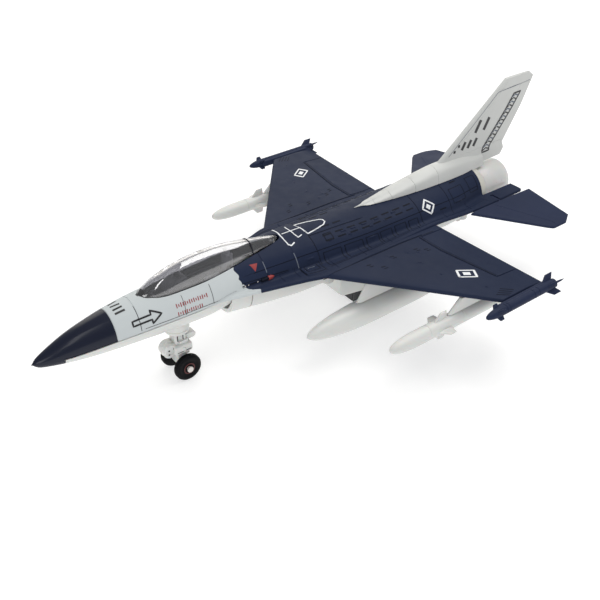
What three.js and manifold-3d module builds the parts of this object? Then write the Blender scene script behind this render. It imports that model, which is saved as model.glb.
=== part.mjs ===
// Die-cast pull-back jet: a metal upper casting with wings, a moulded lower shell, clip-on stores,
// a swivelling nose leg, a hinged canopy, a spring motor and a light-and-sound unit.
// Airframe coordinates: x to port, y aft from the nose tip, z up from the wing plane, millimetres.
import * as THREE from 'three';
import { mergeVertices } from 'three/addons/utils/BufferGeometryUtils.js';
import Module from 'manifold-3d';

const wasm = await Module();
wasm.setup();

// ---- driving dimensions ----
const LENGTH = 210.5;
const WING_HEIGHT = 27.2;
const GAP = 0.3;
const WALL = 1.4;

const NOSE_WHEEL = { y: 47.2, radius: 4.7, inner: 3.2, width: 2.5, axleRadius: 0.7 };
const MAIN_WHEEL = { y: 126.5, radius: 4.75, inner: 11.4, width: 3.0, axleRadius: 1.0 };
const LEG = { y: 46.9, discRadius: 4.0, discTop: -8.5, discThick: 1.2, postRadius: 1.7 };
const NOZZLE = { z: -0.8, front: 181.5, back: 195.8, radius: 8.1 };
const TANK = { x: 26.4, z: -12.4, front: 79.5, back: 152, radius: 4.5 };
const STORE = { x: 51.5, z: -8.1, front: 92.4, back: 149, radius: 2.6 };
const TANK_PYLON = { front: 100, back: 136, top: -0.9, drop: 6.6, thick: 1.8, lean: 4 };
const STORE_PYLON = { front: 117, back: 140, top: -0.6, drop: 4.6, thick: 1.6, lean: 5 };
const RAIL = { x: 65.0, z: 0.3, front: 119.5, back: 151.8, radius: 1.6 };
const HINGE = { y: 84.6, z: 9.2, pin: 0.4, bore: 0.7, halfLength: 3.0 };
const NOZZLE_ROOM = { radius: 9.4, y: 188.1, length: 20 };
const HOUSING = { halfWidth: 9.8, front: 107, back: 146, floor: -20.3, wall: 1.2 };
const MOTOR = { left: 5.6, right: -7.0, front: 116.2, back: 136.3, floor: -25.6, roof: -6.8, wall: 0.8 };
const CELL = { radius: 5.8, height: 5.4, front: 147.8, z: -2.9, count: 3 };
const BUTTON = { y: 172.4, radius: 2.6, rim: 0.6, bottom: -11.1, flange: -7.9, stemTop: -6.3 };
const SWITCH = { size: 3.6, top: -3.8, bottom: -5.0, plunger: 0.8, reach: 0.4 };
const BOARD = { z: -3.0, width: 8.4, length: 7.6, thick: 1.0 };
const SPEAKER = { y: 92, radius: 5.6, bottom: -7.6, height: 3.0, seat: 4.7 };
const MODULE = 0.4;
const AXLE_GEAR = { teeth: 10, y: 126.5, z: -22.45, right: -5.6, width: 1.8, bore: 1.3 };
const IDLER = { teeth: 24, y: 122.5, z: -16.951, right: -5.6, width: 1.8, bore: 0.9 };
const PINION = { teeth: 8, right: -3.9, width: 2.1 };
const SHAFTS = { x: -0.3, length: 11.2, idler: 0.6, arbor: 1.0 };
const BARREL = { teeth: 28, y: 129.0, z: -13.854, right: -3.3, width: 1.8, bore: 1.3 };

// ---- materials ----
const paint = (color, roughness = 0.45, metalness = 0) =>
  new THREE.MeshStandardMaterial({ color, roughness, metalness });
const navy = () => paint(0x22263c, 0.42, 0.1);
const white = () => paint(0xd9dedd, 0.45);
const offWhite = () => paint(0xc9c8bf, 0.5);
const black = () => paint(0x141416, 0.6);
const steel = () => paint(0xb9bcc0, 0.3, 0.9);

// ---- solids ----
function solid(geometry) {
  const bare = geometry.clone();
  bare.deleteAttribute('normal');
  bare.deleteAttribute('uv');
  const merged = mergeVertices(bare, 1e-4);
  const mesh = new wasm.Mesh({
    numProp: 3,
    vertProperties: Float32Array.from(merged.attributes.position.array),
    triVerts: Uint32Array.from(merged.index.array),
  });
  return new wasm.Manifold(mesh);
}

function geometryOf(manifold) {
  const { vertProperties, triVerts } = manifold.getMesh();
  const geometry = new THREE.BufferGeometry();
  geometry.setAttribute('position', new THREE.BufferAttribute(Float32Array.from(vertProperties), 3));
  geometry.setIndex(new THREE.BufferAttribute(Uint32Array.from(triVerts), 1));
  geometry.computeVertexNormals();
  return geometry;
}

function join(...geometries) {
  return geometryOf(geometries.map(solid).reduce((total, next) => total.add(next)));
}

function cut(geometry, ...tools) {
  return geometryOf(tools.map(solid).reduce((total, next) => total.subtract(next), solid(geometry)));
}

// A loft through closed rings of equal point counts, capped at both ends.
function loft(rings) {
  const count = rings[0].length;
  const points = rings.flat();
  const index = [];
  for (let r = 0; r < rings.length - 1; r++) {
    for (let i = 0; i < count; i++) {
      const a = r * count + i;
      const b = r * count + (i + 1) % count;
      index.push(a, b, b + count, a, b + count, a + count);
    }
  }
  for (const [ring, flip] of [[0, true], [rings.length - 1, false]]) {
    const base = ring * count;
    for (const [a, b, c] of fan(count)) {
      index.push(...(flip ? [base + a, base + c, base + b] : [base + a, base + b, base + c]));
    }
  }
  const geometry = new THREE.BufferGeometry();
  geometry.setAttribute('position', new THREE.Float32BufferAttribute(points.flatMap((p) => p.toArray()), 3));
  geometry.setIndex(index);
  return outward(geometry);
}

// Turns an inside-out indexed geometry the right way round.
function outward(geometry) {
  if (volume(geometry) < 0) {
    const index = Array.from(geometry.index.array);
    for (let i = 0; i < index.length; i += 3) {
      [index[i + 1], index[i + 2]] = [index[i + 2], index[i + 1]];
    }
    geometry.setIndex(index);
  }
  geometry.computeVertexNormals();
  return geometry;
}

function fan(count) {
  return Array.from({ length: count - 2 }, (_, i) => [0, i + 1, i + 2]);
}

function volume(geometry) {
  const p = geometry.attributes.position;
  const index = geometry.index.array;
  let total = 0;
  const corner = [new THREE.Vector3(), new THREE.Vector3(), new THREE.Vector3()];
  for (let i = 0; i < index.length; i += 3) {
    corner.forEach((c, k) => c.fromBufferAttribute(p, index[i + k]));
    total += corner[0].dot(corner[1].clone().cross(corner[2]));
  }
  return total / 6;
}

const box = (x, y, z, w, d, h) => new THREE.BoxGeometry(w, d, h).translate(x, y, z);

function cylinder(radius, length, axis, x, y, z, sides = 24, tip = radius) {
  const geometry = new THREE.CylinderGeometry(tip, radius, length, sides);
  if (axis === 'x') geometry.rotateZ(-Math.PI / 2);
  if (axis === 'z') geometry.rotateX(Math.PI / 2);
  return geometry.translate(x, y, z);
}

// A turned body along +y from rows of [y, radius] that end on the axis or close on themselves.
function turned(profile, sides = 20) {
  return outward(new THREE.LatheGeometry(profile.map(([y, r]) => new THREE.Vector2(r, y)), sides));
}

// A flat plate: an outline of [a, b] points extruded by a thickness centred on zero.
// plane 'yz' gives a plate with its thickness along x, 'xy' one with its thickness along z.
function plate(outline, thickness, plane) {
  const shape = new THREE.Shape(outline.map(([a, b]) => new THREE.Vector2(a, b)));
  const geometry = new THREE.ExtrudeGeometry(shape, { depth: thickness, bevelEnabled: false });
  geometry.translate(0, 0, -thickness / 2);
  if (plane === 'yz') {
    const turn = new THREE.Matrix4().set(0, 0, 1, 0, 1, 0, 0, 0, 0, 1, 0, 0, 0, 0, 0, 1);
    geometry.applyMatrix4(turn);
  }
  return geometry;
}

// Smooth interpolation through rows [y, value, value, ...] by a monotone-limited cubic.
function follow(table, y) {
  const last = table.length - 1;
  if (y <= table[0][0]) return table[0].slice(1);
  if (y >= table[last][0]) return table[last].slice(1);
  const i = table.findIndex((row) => row[0] > y) - 1;
  const span = table[i + 1][0] - table[i][0];
  const t = (y - table[i][0]) / span;
  return table[i].slice(1).map((value, k) => {
    const slope = (j) => {
      if (j <= 0 || j >= last) return 0;
      const before = (table[j][k + 1] - table[j - 1][k + 1]) / (table[j][0] - table[j - 1][0]);
      const after = (table[j + 1][k + 1] - table[j][k + 1]) / (table[j + 1][0] - table[j][0]);
      return before * after <= 0 ? 0 : (2 * before * after) / (before + after);
    };
    const next = table[i + 1][k + 1];
    const a = slope(i) * span;
    const b = slope(i + 1) * span;
    return value * (1 + 2 * t) * (1 - t) ** 2 + next * t * t * (3 - 2 * t)
      + a * t * (1 - t) ** 2 - b * t * t * (1 - t);
  });
}

// ---- fuselage form ----
// Rows of y, half width, top, height of the split line.
const UPPER = [
  [0, 0.5, -0.3, -0.8], [2, 1.6, 0.8, -0.8], [6, 3.05, 2.65, -0.8], [12, 4.5, 5.0, -0.6],
  [18, 5.6, 6.5, -0.2], [24.5, 6.7, 7.7, 0.3], [32, 7.5, 8.7, 0.5], [42, 8.3, 9.4, 0.7],
  [55, 8.9, 10.0, 0.7], [67, 9.5, 10.6, 0.7], [86, 11.0, 10.6, 0.7], [106, 12.5, 10.2, 0.7],
  [122, 13.2, 9.6, 0.7], [146, 13.2, 9.6, 0.5], [162, 12.3, 9.3, -0.7], [178, 9.4, 8.8, -1.6],
];
// Rows of y, half width, depth below the wing plane, height of the split line.
const LOWER_NOSE = [
  [0, 0.5, 1.2, -0.8], [2, 1.6, 2.4, -0.8], [6, 3.05, 3.2, -0.8], [12, 4.5, 4.2, -0.6],
  [18, 5.6, 4.9, -0.2], [24.5, 6.7, 5.3, 0.3], [32, 7.5, 5.7, 0.5], [42, 8.3, 6.2, 0.7],
  [55, 8.7, 6.6, 0.7], [62, 7.9, 6.2, 0.7], [74, 6.0, 5.0, 0.7],
];
const LOWER_BELLY = [
  [61, 8.0, 8.7, 0.7], [66, 8.4, 9.2, 0.7], [80, 9.6, 11.2, 0.7], [95, 10.8, 12.4, 0.7],
  [110, 11.4, 12.4, 0.7], [146, 11.3, 11.3, 0.5], [162, 10.6, 10.4, -0.7], [178, 9.4, 10.1, -1.6],
];
const UPPER_STATIONS = [8.5, 12, 16, 20, 24.5, 32, 42, 52, 62, 74, 86, 98, 110, 122, 134, 146, 154, 162,
  170, 178];
const NOSE_STATIONS = [8.9, 12, 16, 20, 24.5, 32, 42, 52, 60, 66, 72.8];
const BELLY_STATIONS = [71, 80, 88, 96, 108, 120, 134, 146, 154, 162, 170, 178];
const LIP_STATIONS = [63.5, 65, 67.5, 70.7];
const ARC_STEPS = 8;
const ROUND = 1;
const BOXY = 0.8;

// Half of the body above (side 1) or below (side -1) the split line, moved in by an inset.
// The flat face lies at the split line, shifted by the rim.
function halfBody(table, stations, side, power, inset, rim) {
  return loft(stations.map((y) => {
    const [halfWidth, extent, split] = follow(table, y);
    const height = (side > 0 ? extent - split : extent + split) - inset;
    const arc = Array.from({ length: ARC_STEPS + 1 }, (_, i) => {
      const angle = Math.PI * i / ARC_STEPS;
      const c = Math.cos(angle);
      const x = (halfWidth - inset) * Math.sign(c) * Math.abs(c) ** power;
      const z = split + side * Math.max(height * Math.sin(angle) ** power, GAP / 2);
      return new THREE.Vector3(x, y, z);
    });
    const foot = split + side * rim;
    const edge = halfWidth - inset;
    return [...arc, new THREE.Vector3(-edge, y, foot), new THREE.Vector3(edge, y, foot)];
  }));
}

function bodyRing(y) {
  const [halfWidth, top, split] = follow(UPPER, y);
  const depth = follow(LOWER_NOSE, y)[1];
  return Array.from({ length: 2 * ARC_STEPS }, (_, i) => {
    const angle = Math.PI * i / ARC_STEPS;
    const height = Math.sin(angle) > 0 ? top - split : depth + split;
    return new THREE.Vector3(halfWidth * Math.cos(angle), y, split + height * Math.sin(angle));
  });
}

// Height of the body's outer surface at a point, above or below the split line.
function skin(table, x, y, side, power) {
  const [halfWidth, extent, split] = follow(table, y);
  const height = side > 0 ? extent - split : extent + split;
  const angle = Math.acos(Math.min(1, Math.abs(x) / halfWidth) ** (1 / power));
  return split + side * height * Math.sin(angle) ** power;
}

// ---- wing, chine and tail surfaces ----
const WING = { root: [8, 85.4, 145.6, 1.0, 2.4], tip: [62.6, 129.8, 148.1, 0.8, 1.5] };
const mirror = ([x, ...rest]) => [-x, ...rest];

// A surface between two sections, each given as x, front y, back y, z and thickness.
function aerofoil(root, tip) {
  const upper = [[0.02, 0.3], [0.12, 0.5], [0.6, 0.5], [1, 0.14]];
  const lower = upper.map(([u, v]) => [u, -v]).reverse();
  const ring = ([x, front, back, z, thick]) => [[0, 0], ...upper, ...lower]
    .map(([u, v]) => new THREE.Vector3(x, front + (back - front) * u, z + thick * v));
  return loft([ring(root), ring(tip)]);
}

// The flat edge along both sides of the body: y, half width.
const CHINE = [[43, 7.6], [56, 9.4], [70, 12.6], [87, 17.0], [94.4, 19.0], [146, 16.3], [162, 16.1],
  [178, 15.7], [194, 15.2]];
const CHINE_THICK = 1.4;

function chine() {
  return loft(CHINE.map(([y, x]) => {
    const base = follow(UPPER, y)[2] + GAP / 2;
    const top = base + CHINE_THICK;
    const nose = base + CHINE_THICK / 2;
    const section = [[x, nose], [x - 0.6, top], [-x + 0.6, top], [-x, nose], [-x + 0.6, base],
      [x - 0.6, base]];
    return section.map(([px, pz]) => new THREE.Vector3(px, y, pz));
  }));
}

// ---- canopy form ----
// Rows of y, half width, top, height of the widest line.
const GLASS = [
  [34.9, 0.6, 9.0, 8.2], [36.2, 2.6, 10.0, 7.8], [38.5, 3.7, 11.4, 7.4], [42, 4.5, 12.9, 7.2],
  [48, 4.9, 14.7, 7.2], [56, 5.2, 15.7, 7.4], [62, 5.1, 15.7, 7.7], [69.5, 4.5, 14.8, 8.4],
  [75, 3.7, 13.6, 8.8], [80, 3.0, 12.5, 9.4], [84, 2.2, 11.6, 9.8], [86, 1.3, 11.0, 10.0],
  [86.5, 0.6, 10.8, 10.0],
];
const GLASS_STATIONS = [34.9, 35.6, 37, 39, 42, 46, 51, 56, 61, 66, 70, 75, 79, 82, 84.6, 85.8, 86.5];
const GLASS_FOOT = 5.4;
const GLASS_WALL = 0.7;
const REAR_SWING = 0.9;

function glassRing(y, source, grow, foot) {
  const [halfWidth, top, widest] = follow(GLASS, source);
  const half = halfWidth + grow;
  const arch = Array.from({ length: 9 }, (_, i) => {
    const angle = Math.PI * i / 8;
    return new THREE.Vector3(half * Math.cos(angle), y, widest + (top + grow - widest) * Math.sin(angle));
  });
  return [new THREE.Vector3(half, y, foot), ...arch, new THREE.Vector3(-half, y, foot)];
}

function canopy() {
  const outer = loft(GLASS_STATIONS.map((y) => glassRing(y, y, 0, GLASS_FOOT)));
  const inner = loft(GLASS_STATIONS.slice(2, -2).map((y) => glassRing(y, y, -GLASS_WALL, GLASS_FOOT - 1)));
  const bore = cylinder(HINGE.bore, 12, 'x', 0, HINGE.y, HINGE.z, 12);
  return cut(outer, inner, bore);
}

// The space the canopy needs, with more room behind for its tail to swing.
function canopyOpening() {
  const stations = [34.6, ...GLASS_STATIONS.slice(1, -1), 86.6, 87.5];
  return loft(stations.map((y) => glassRing(y, y > HINGE.y - 8 ? y - REAR_SWING : y, GAP, 2.5)));
}

// ---- body screws ----
const SCREW = { shank: 0.8, pilot: 1.1, head: 1.7, headHeight: 1.0, length: 8.5, boss: 2.4, sides: 8 };
const BODY_SCREWS = [
  { name: 'body_screw_front', x: 0, y: 30, seat: -4.6 },
  { name: 'body_screw_mid_left', x: 7.6, y: 102.5, seat: -6.2 },
  { name: 'body_screw_mid_right', x: -7.6, y: 102.5, seat: -6.2 },
  { name: 'body_screw_rear_left', x: 7.2, y: 169.5, seat: -6.0 },
  { name: 'body_screw_rear_right', x: -7.2, y: 169.5, seat: -6.0 },
];

const post = (radius, x, y, from, to, sides = SCREW.sides) =>
  cylinder(radius, to - from, 'z', x, y, (from + to) / 2, sides);

function screw(length, { head: headRadius, headHeight, shank: shankRadius } = SCREW) {
  const head = post(headRadius, 0, 0, 0, headHeight);
  const shank = post(shankRadius, 0, 0, headHeight - 0.1, length, 8);
  const slot = box(0, 0, 0, headRadius * 1.3, 0.5, 0.7);
  return geometryOf(solid(head).add(solid(shank)).subtract(solid(slot)));
}

// ---- upper casting ----
const FIN_TAB = { stations: [140, 166], width: 1.6, length: 5, foot: 7.4, top: 10.8 };
const STAB_PIN = { y: 181, size: 0.8, inner: 11.6 };

function upperShell() {
  const tip = loft([0, 1, 2.2, 4, 6, 8.6].map(bodyRing));
  const wings = [aerofoil(WING.root, WING.tip), aerofoil(mirror(WING.root), mirror(WING.tip))];
  let body = solid(tip).add(solid(halfBody(UPPER, UPPER_STATIONS, 1, ROUND, 0, GAP / 2)));
  for (const part of [chine(), ...wings]) {
    body = body.add(solid(part));
  }
  const cavity = UPPER_STATIONS.slice(0, -1).concat(176.5);
  body = body.subtract(solid(halfBody(UPPER, cavity, 1, ROUND, WALL, -3)));
  body = body.subtract(solid(halfBody(LOWER_BELLY, BELLY_STATIONS, -1, BOXY, -GAP, -GAP / 2)));
  for (const { x, y } of BODY_SCREWS) {
    const foot = follow(UPPER, y)[2] + GAP;
    const roof = skin(UPPER, Math.abs(x) + SCREW.boss, y, 1, ROUND) - 0.5;
    body = body.add(solid(post(SCREW.boss, x, y, foot, roof)));
    body = body.subtract(solid(post(SCREW.pilot, x, y, foot - 1, roof - 0.4)));
  }
  body = body.subtract(solid(canopyOpening()));
  const pinHole = cylinder(HINGE.bore, 2 * HINGE.halfLength + 1, 'x', 0, HINGE.y, HINGE.z, 12);
  const nozzleSpace = cylinder(NOZZLE_ROOM.radius, NOZZLE_ROOM.length, 'y', 0, NOZZLE_ROOM.y, NOZZLE.z, 24);
  body = body.subtract(solid(pinHole)).subtract(solid(nozzleSpace)).subtract(ledHole());
  for (const y of FIN_TAB.stations) {
    body = body.subtract(solid(box(0, y, 9, FIN_TAB.width + 2 * GAP, FIN_TAB.length + 2 * GAP, 6)));
  }
  const pinSlot = STAB_PIN.size + 2 * GAP;
  const shelf = follow(UPPER, STAB_PIN.y)[2] + GAP / 2 + CHINE_THICK / 2;
  for (const side of [-1, 1]) {
    body = body.subtract(solid(box(side * 14.3, STAB_PIN.y, shelf, 6, pinSlot, CHINE_THICK + 1)));
  }
  return geometryOf(body);
}

// ---- lower shell ----
function housing(inset) {
  const { front, back, floor, halfWidth } = HOUSING;
  const outline = [[front + inset, -6], [front + inset, -16.8 + inset],
    [front + 1.4 + inset, -18 + inset], [front + 16, floor + inset], [back - 8, floor + inset],
    [back - inset, -10.2], [back - inset, -6]];
  return plate(outline, 2 * (halfWidth - inset), 'yz');
}

// The opening in the housing floor that the motor drops through, with room for its cover.
function motorHole() {
  const { left, right, front, back } = MOTOR;
  return box((left + right) / 2 + 0.5, (front + back) / 2, HOUSING.floor,
    left - right + 2.8, back - front + 2 * GAP, 6);
}

const COVER = { y: 156.3, length: 17.6, halfWidth: 6.8, tabHalfWidth: 2.6, tabEnd: 169.0, rib: 167.2 };
const INTAKE_SLOT = { y: 72.2, z: -7.8, width: 10, height: 1.8 };
const GRILLE = { lines: [-4, -2, 0, 2, 4], length: 8, width: 0.9 };
const COVER_SCREW = { seat: -10.0, head: 1.3, headHeight: 0.7, shank: 0.6 };

function coverBlock(gap) {
  const plateBlock = box(0, COVER.y, -10, 2 * (COVER.halfWidth - gap), COVER.length - 2 * gap, 7);
  const tabLength = COVER.tabEnd - COVER.y - gap;
  const tab = box(0, COVER.y + tabLength / 2, -10, 2 * (COVER.tabHalfWidth - gap), tabLength, 7);
  return solid(plateBlock).add(solid(tab));
}

function bellySkin() {
  return solid(halfBody(LOWER_BELLY, BELLY_STATIONS, -1, BOXY, 0, GAP / 2));
}

function bellyCavity() {
  const stations = [73, ...BELLY_STATIONS.slice(1, -1), 176.5];
  return solid(halfBody(LOWER_BELLY, stations, -1, BOXY, WALL, -1));
}

const ledHole = () => solid(cylinder(3.3, 4, 'y', 0, 177, NOZZLE.z, 12));

function lowerShell() {
  const noseCavity = [10.5, ...NOSE_STATIONS.slice(1, -1), 72.2];
  let body = solid(halfBody(LOWER_NOSE, NOSE_STATIONS, -1, ROUND, 0, GAP / 2)).add(bellySkin());
  body = body.add(solid(housing(0)));
  body = body.add(solid(post(LEG.discRadius + 0.2, 0, LEG.y, LEG.discTop + GAP, -5.2, 20)));
  body = body.subtract(bellyCavity()).subtract(solid(housing(HOUSING.wall)));
  body = body.subtract(solid(halfBody(LOWER_NOSE, noseCavity, -1, ROUND, WALL, -1)));
  body = body.subtract(solid(post(LEG.postRadius + GAP, 0, LEG.y, -10, 0, 16)));
  body = body.subtract(solid(motorHole())).subtract(coverBlock(0));
  const rib = box(0, COVER.rib, -6.6, 17, 1.4, 3.2);
  body = body.add(solid(rib).add(solid(post(1.6, 0, COVER.rib, -8.2, -5))));
  body = body.subtract(solid(post(COVER_SCREW.shank + GAP, 0, COVER.rib, -9, -5.6)));
  const { y: slotY, z: slotZ, width: slotWidth, height: slotHeight } = INTAKE_SLOT;
  body = body.subtract(solid(box(0, slotY, slotZ, slotWidth, 4, slotHeight)));
  body = body.subtract(solid(post(BUTTON.radius + 0.4, 0, BUTTON.y, -12, -7, 16))).subtract(ledHole());
  body = body.add(solid(post(SPEAKER.seat, 0, SPEAKER.y, -10.6, SPEAKER.bottom - GAP, 12)));
  body = body.subtract(solid(post(SPEAKER.seat - 0.8, 0, SPEAKER.y, -9.9, -7, 12)));
  for (const y of GRILLE.lines) {
    body = body.subtract(solid(box(0, SPEAKER.y + y, -11.5, GRILLE.length, GRILLE.width, 5)));
  }
  for (const { x, y, seat: seatZ } of BODY_SCREWS) {
    const underNose = y < LEG.y;
    const bottom = skin(underNose ? LOWER_NOSE : LOWER_BELLY, x, y, -1, underNose ? ROUND : BOXY);
    const top = follow(UPPER, y)[2] - GAP;
    const recess = post(SCREW.head + GAP, x, y, bottom - 2, seatZ + SCREW.headHeight + GAP);
    body = body.add(solid(post(SCREW.boss, x, y, bottom + 0.6, top)));
    body = body.subtract(solid(post(SCREW.pilot, x, y, bottom - 2, top + 1))).subtract(solid(recess));
  }
  return geometryOf(body);
}

function batteryCover() {
  const skinPart = bellySkin().subtract(bellyCavity()).intersect(coverBlock(GAP));
  const { seat: seatZ, head, headHeight, shank } = COVER_SCREW;
  const recess = post(head + GAP, 0, COVER.rib, -12, seatZ + headHeight);
  const hole = post(shank + GAP, 0, COVER.rib, -12, -6);
  return geometryOf(skinPart.subtract(solid(recess)).subtract(solid(hole)));
}

function intakeLip() {
  const outer = solid(halfBody(LOWER_BELLY, LIP_STATIONS, -1, BOXY, 0, GAP / 2));
  const duct = solid(halfBody(LOWER_BELLY, [60, ...LIP_STATIONS, 72], -1, BOXY, 1.3, -1));
  const nose = solid(halfBody(LOWER_NOSE, [58, 62, 66, 72.8], -1, ROUND, -GAP, -1));
  return geometryOf(outer.subtract(duct).subtract(nose));
}

// ---- tail ----
// Rows of y, half width, top of the spine.
const SPINE = [[119.8, 0.5, 9.9], [124, 1.5, 10.4], [131, 2.4, 11.2], [140, 3.2, 12.6], [152, 3.7, 14.2],
  [161.5, 3.6, 15.2], [172, 3.0, 14.8], [184.8, 2.0, 13.0]];
const FIN = { thick: 2.0, tipThick: 1.4 };
const FIN_OUTLINE = [[158, 13.0], [161.5, 15.4], [194.6, 41.2], [207.6, 41.2], [210.5, 38.9], [205.4, 28.1],
  [196.8, 14.4], [198.0, 11.6], [196.8, 9.4], [185.0, 8.9]];

function tailFin() {
  const spine = loft(SPINE.map(([y, halfWidth, top]) => {
    const low = 7.6;
    const shoulder = top * 0.7 + low * 0.3;
    const half = [[1.25, low], [1, shoulder], [0.45, top - 0.5]];
    const section = [...half, [0, top], ...half.map(mirror).reverse()];
    return section.map(([x, z]) => new THREE.Vector3(x * halfWidth, y, z));
  }));
  let body = solid(spine).add(solid(plate(FIN_OUTLINE, FIN.thick, 'yz')));
  body = body.subtract(solid(halfBody(UPPER, UPPER_STATIONS, 1, ROUND, -GAP, 0)));
  body = body.subtract(solid(cylinder(9.3, 8, 'y', 0, 181.9, NOZZLE.z, 24)));
  const { stations, width, length, foot, top: tabTop } = FIN_TAB;
  for (const y of stations) {
    body = body.add(solid(box(0, y, (foot + tabTop) / 2, width, length, tabTop - foot)));
  }
  return geometryOf(body);
}

const STAB = { droop: -0.16, thick: 1.7 };
const STAB_OUTLINE = [[0, 164.4], [20.4, 184.6], [22.2, 187.0], [22.2, 193.4], [19.4, 198.0], [0, 197.2]];

function stabilator(side) {
  const outline = STAB_OUTLINE.map(([x, y]) => [side * x, y]);
  const blade = plate(outline, STAB.thick, 'xy').rotateY(-side * STAB.droop);
  const shelf = follow(UPPER, STAB_PIN.y)[2] + GAP / 2 + CHINE_THICK / 2;
  const root = 16.4;
  blade.translate(side * root, 0, shelf);
  const pin = box(side * (STAB_PIN.inner + root + 1) / 2, STAB_PIN.y, shelf, root + 1 - STAB_PIN.inner,
    STAB_PIN.size, STAB_PIN.size);
  return join(blade, pin);
}

function nozzle() {
  const { front, back, radius } = NOZZLE;
  const throat = 6.6;
  const profile = [[front, throat], [front, radius], [front + 6, radius], [back - 0.4, radius - 0.5],
    [back, radius - 0.9], [back, radius - 1.6], [front, throat]];
  return turned(profile, 28);
}

function nozzleRing() {
  const profile = [[178.3, 6.2], [178.3, 9.1], [180.4, 9.1], [181.2, 8.6], [181.2, 6.2], [178.3, 6.2]];
  return turned(profile, 28);
}

// ---- cockpit ----
function tub() {
  const stations = [40, 43, 48, 54, 60, 65, 70];
  const ring = (inset, floor, top) => (y) => {
    const half = follow(GLASS, y)[0] - 1.15 - inset;
    return [[half, top], [-half, top], [-half * 0.9, floor], [half * 0.9, floor]]
      .map(([x, z]) => new THREE.Vector3(x, y, z));
  };
  const outer = loft(stations.map(ring(0, 0.6, 6.2)));
  const inner = loft([40.9, ...stations.slice(1, -1), 69.2].map(ring(0.8, 1.4, 7)));
  return cut(outer, inner);
}

function seat() {
  const outline = [[58.4, 1.7], [58.4, 4.2], [64.2, 4.6], [66.4, 11.2], [65.8, 12.6], [68.0, 13.2],
    [69.4, 11.6], [67.6, 1.7]];
  return plate(outline, 4.0, 'yz');
}

function coaming() {
  return plate([[43.6, 6.6], [43.6, 8.2], [47.5, 9.8], [51.2, 9.9], [51.2, 6.6]], 5.4, 'yz');
}

// ---- stores ----
function tank() {
  const { front, back, radius } = TANK;
  const length = back - front;
  const rows = [0, 0.03, 0.08, 0.16, 0.26, 0.38, 0.62, 0.78, 0.9, 1].map((t) => {
    const nose = Math.min(1, t / 0.38);
    const tail = Math.min(1, (1 - t) / 0.42);
    return [front + length * t, radius * Math.sqrt(1 - (1 - nose) ** 2) * (1 - (1 - tail) ** 2) ** 0.7];
  });
  rows[0][1] = 0;
  rows.at(-1)[1] = 0;
  return turned(rows, 20);
}

// A hanger under the wing whose front edge leans back as it goes down to the store.
function pylon({ front, back, top, drop, thick, lean }) {
  const outline = [[front + lean, 0], [front, -drop], [back, -drop], [back + 1, 0]];
  return plate(outline, thick, 'yz').translate(0, 0, top);
}

const STORE_FINS = {
  mid: { y: 17.5, height: 2.8, root: 6.8, tip: 2.6, sweep: 3.6 },
  tail: { y: 47.6, height: 2.8, root: 8, tip: 4.5, sweep: 4 },
};
const RAIL_FINS = {
  canard: { y: 3.6, height: 1.2, root: 3, tip: 1.6, sweep: 1.2 },
  tail: { y: 26.1, height: 2.0, root: 5.0, tip: 3.4, sweep: 4.0 },
};
const RAIL_LAUNCHER = { y: 18, length: 25, height: 2.6 };
const FIN_THICK = 0.7;
const DIAGONAL = Math.PI / 4;

// Four fins in a cross on a body of some radius, turned about it by an angle.
function finSet({ y, height, root, tip, sweep }, radius, turn = DIAGONAL) {
  const foot = radius * 0.5;
  const reach = height + foot;
  const outline = [[y, 0], [y + root, 0], [y + sweep + tip, reach], [y + sweep, reach]];
  return [0, 1, 2, 3].map((k) => {
    const blade = plate(outline, FIN_THICK, 'yz').translate(0, 0, foot);
    return blade.rotateY(turn + k * Math.PI / 2);
  });
}

function missile() {
  const { front, back, radius } = STORE;
  const length = back - front;
  const body = turned([[0, 0], [0.8, 0.8], [3, 1.6], [6.5, 2.25], [11, radius], [length, radius * 0.9],
    [length, 0]], 14);
  return join(body, ...finSet(STORE_FINS.mid, radius, 0), ...finSet(STORE_FINS.tail, radius));
}

function wingtipMissile(side) {
  const { x, front, back, radius } = RAIL;
  const length = back - front;
  const body = turned([[0, 0], [0.5, 0.6], [2.4, 1.3], [5, radius], [length, radius], [length, 0]], 12);
  const reach = x - WING.tip[0] - GAP;
  const { y, length: launcherLength, height } = RAIL_LAUNCHER;
  const launcher = box(-side * reach / 2, y, 0, reach, launcherLength, height);
  return join(body, launcher, ...finSet(RAIL_FINS.canard, radius), ...finSet(RAIL_FINS.tail, radius));
}

// ---- undercarriage ----
function noseLeg() {
  const { discTop, discThick, discRadius, postRadius } = LEG;
  const axle = NOSE_WHEEL.y - LEG.y;
  const hub = NOSE_WHEEL.radius - WING_HEIGHT;
  const pad = post(discRadius, 0, 0, discTop - discThick, discTop, 20);
  const king = post(postRadius, 0, 0, discTop - 0.1, -3.6, 16);
  const strut = box(0, 0, (discTop - 16) / 2, 4.0, 4.2, 16 + discTop);
  const knee = box(0, 0.3, -15.9, 6.8, 6.4, 3.2);
  const stay = box(0, 3.4, -13.2, 2.8, 2.8, 2.4);
  const roller = cylinder(1.2, 2.8, 'x', 0, 4.8, -13.2, 12);
  const lamp = cylinder(2.7, 4.6, 'x', 0, -3.7, -15.8, 14);
  const fork = box(0, 0.4, -19.4, 3.6, 3.6, 6.0);
  const axleTube = cylinder(1.8, 5.6, 'x', 0, axle, hub, 14);
  const bore = cylinder(NOSE_WHEEL.axleRadius + GAP, 10, 'x', 0, axle, hub, 12);
  const pilot = post(1.0, 0, 0, -9, -3, 8);
  return cut(join(pad, king, strut, knee, stay, roller, lamp, fork, axleTube), bore, pilot);
}

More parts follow.
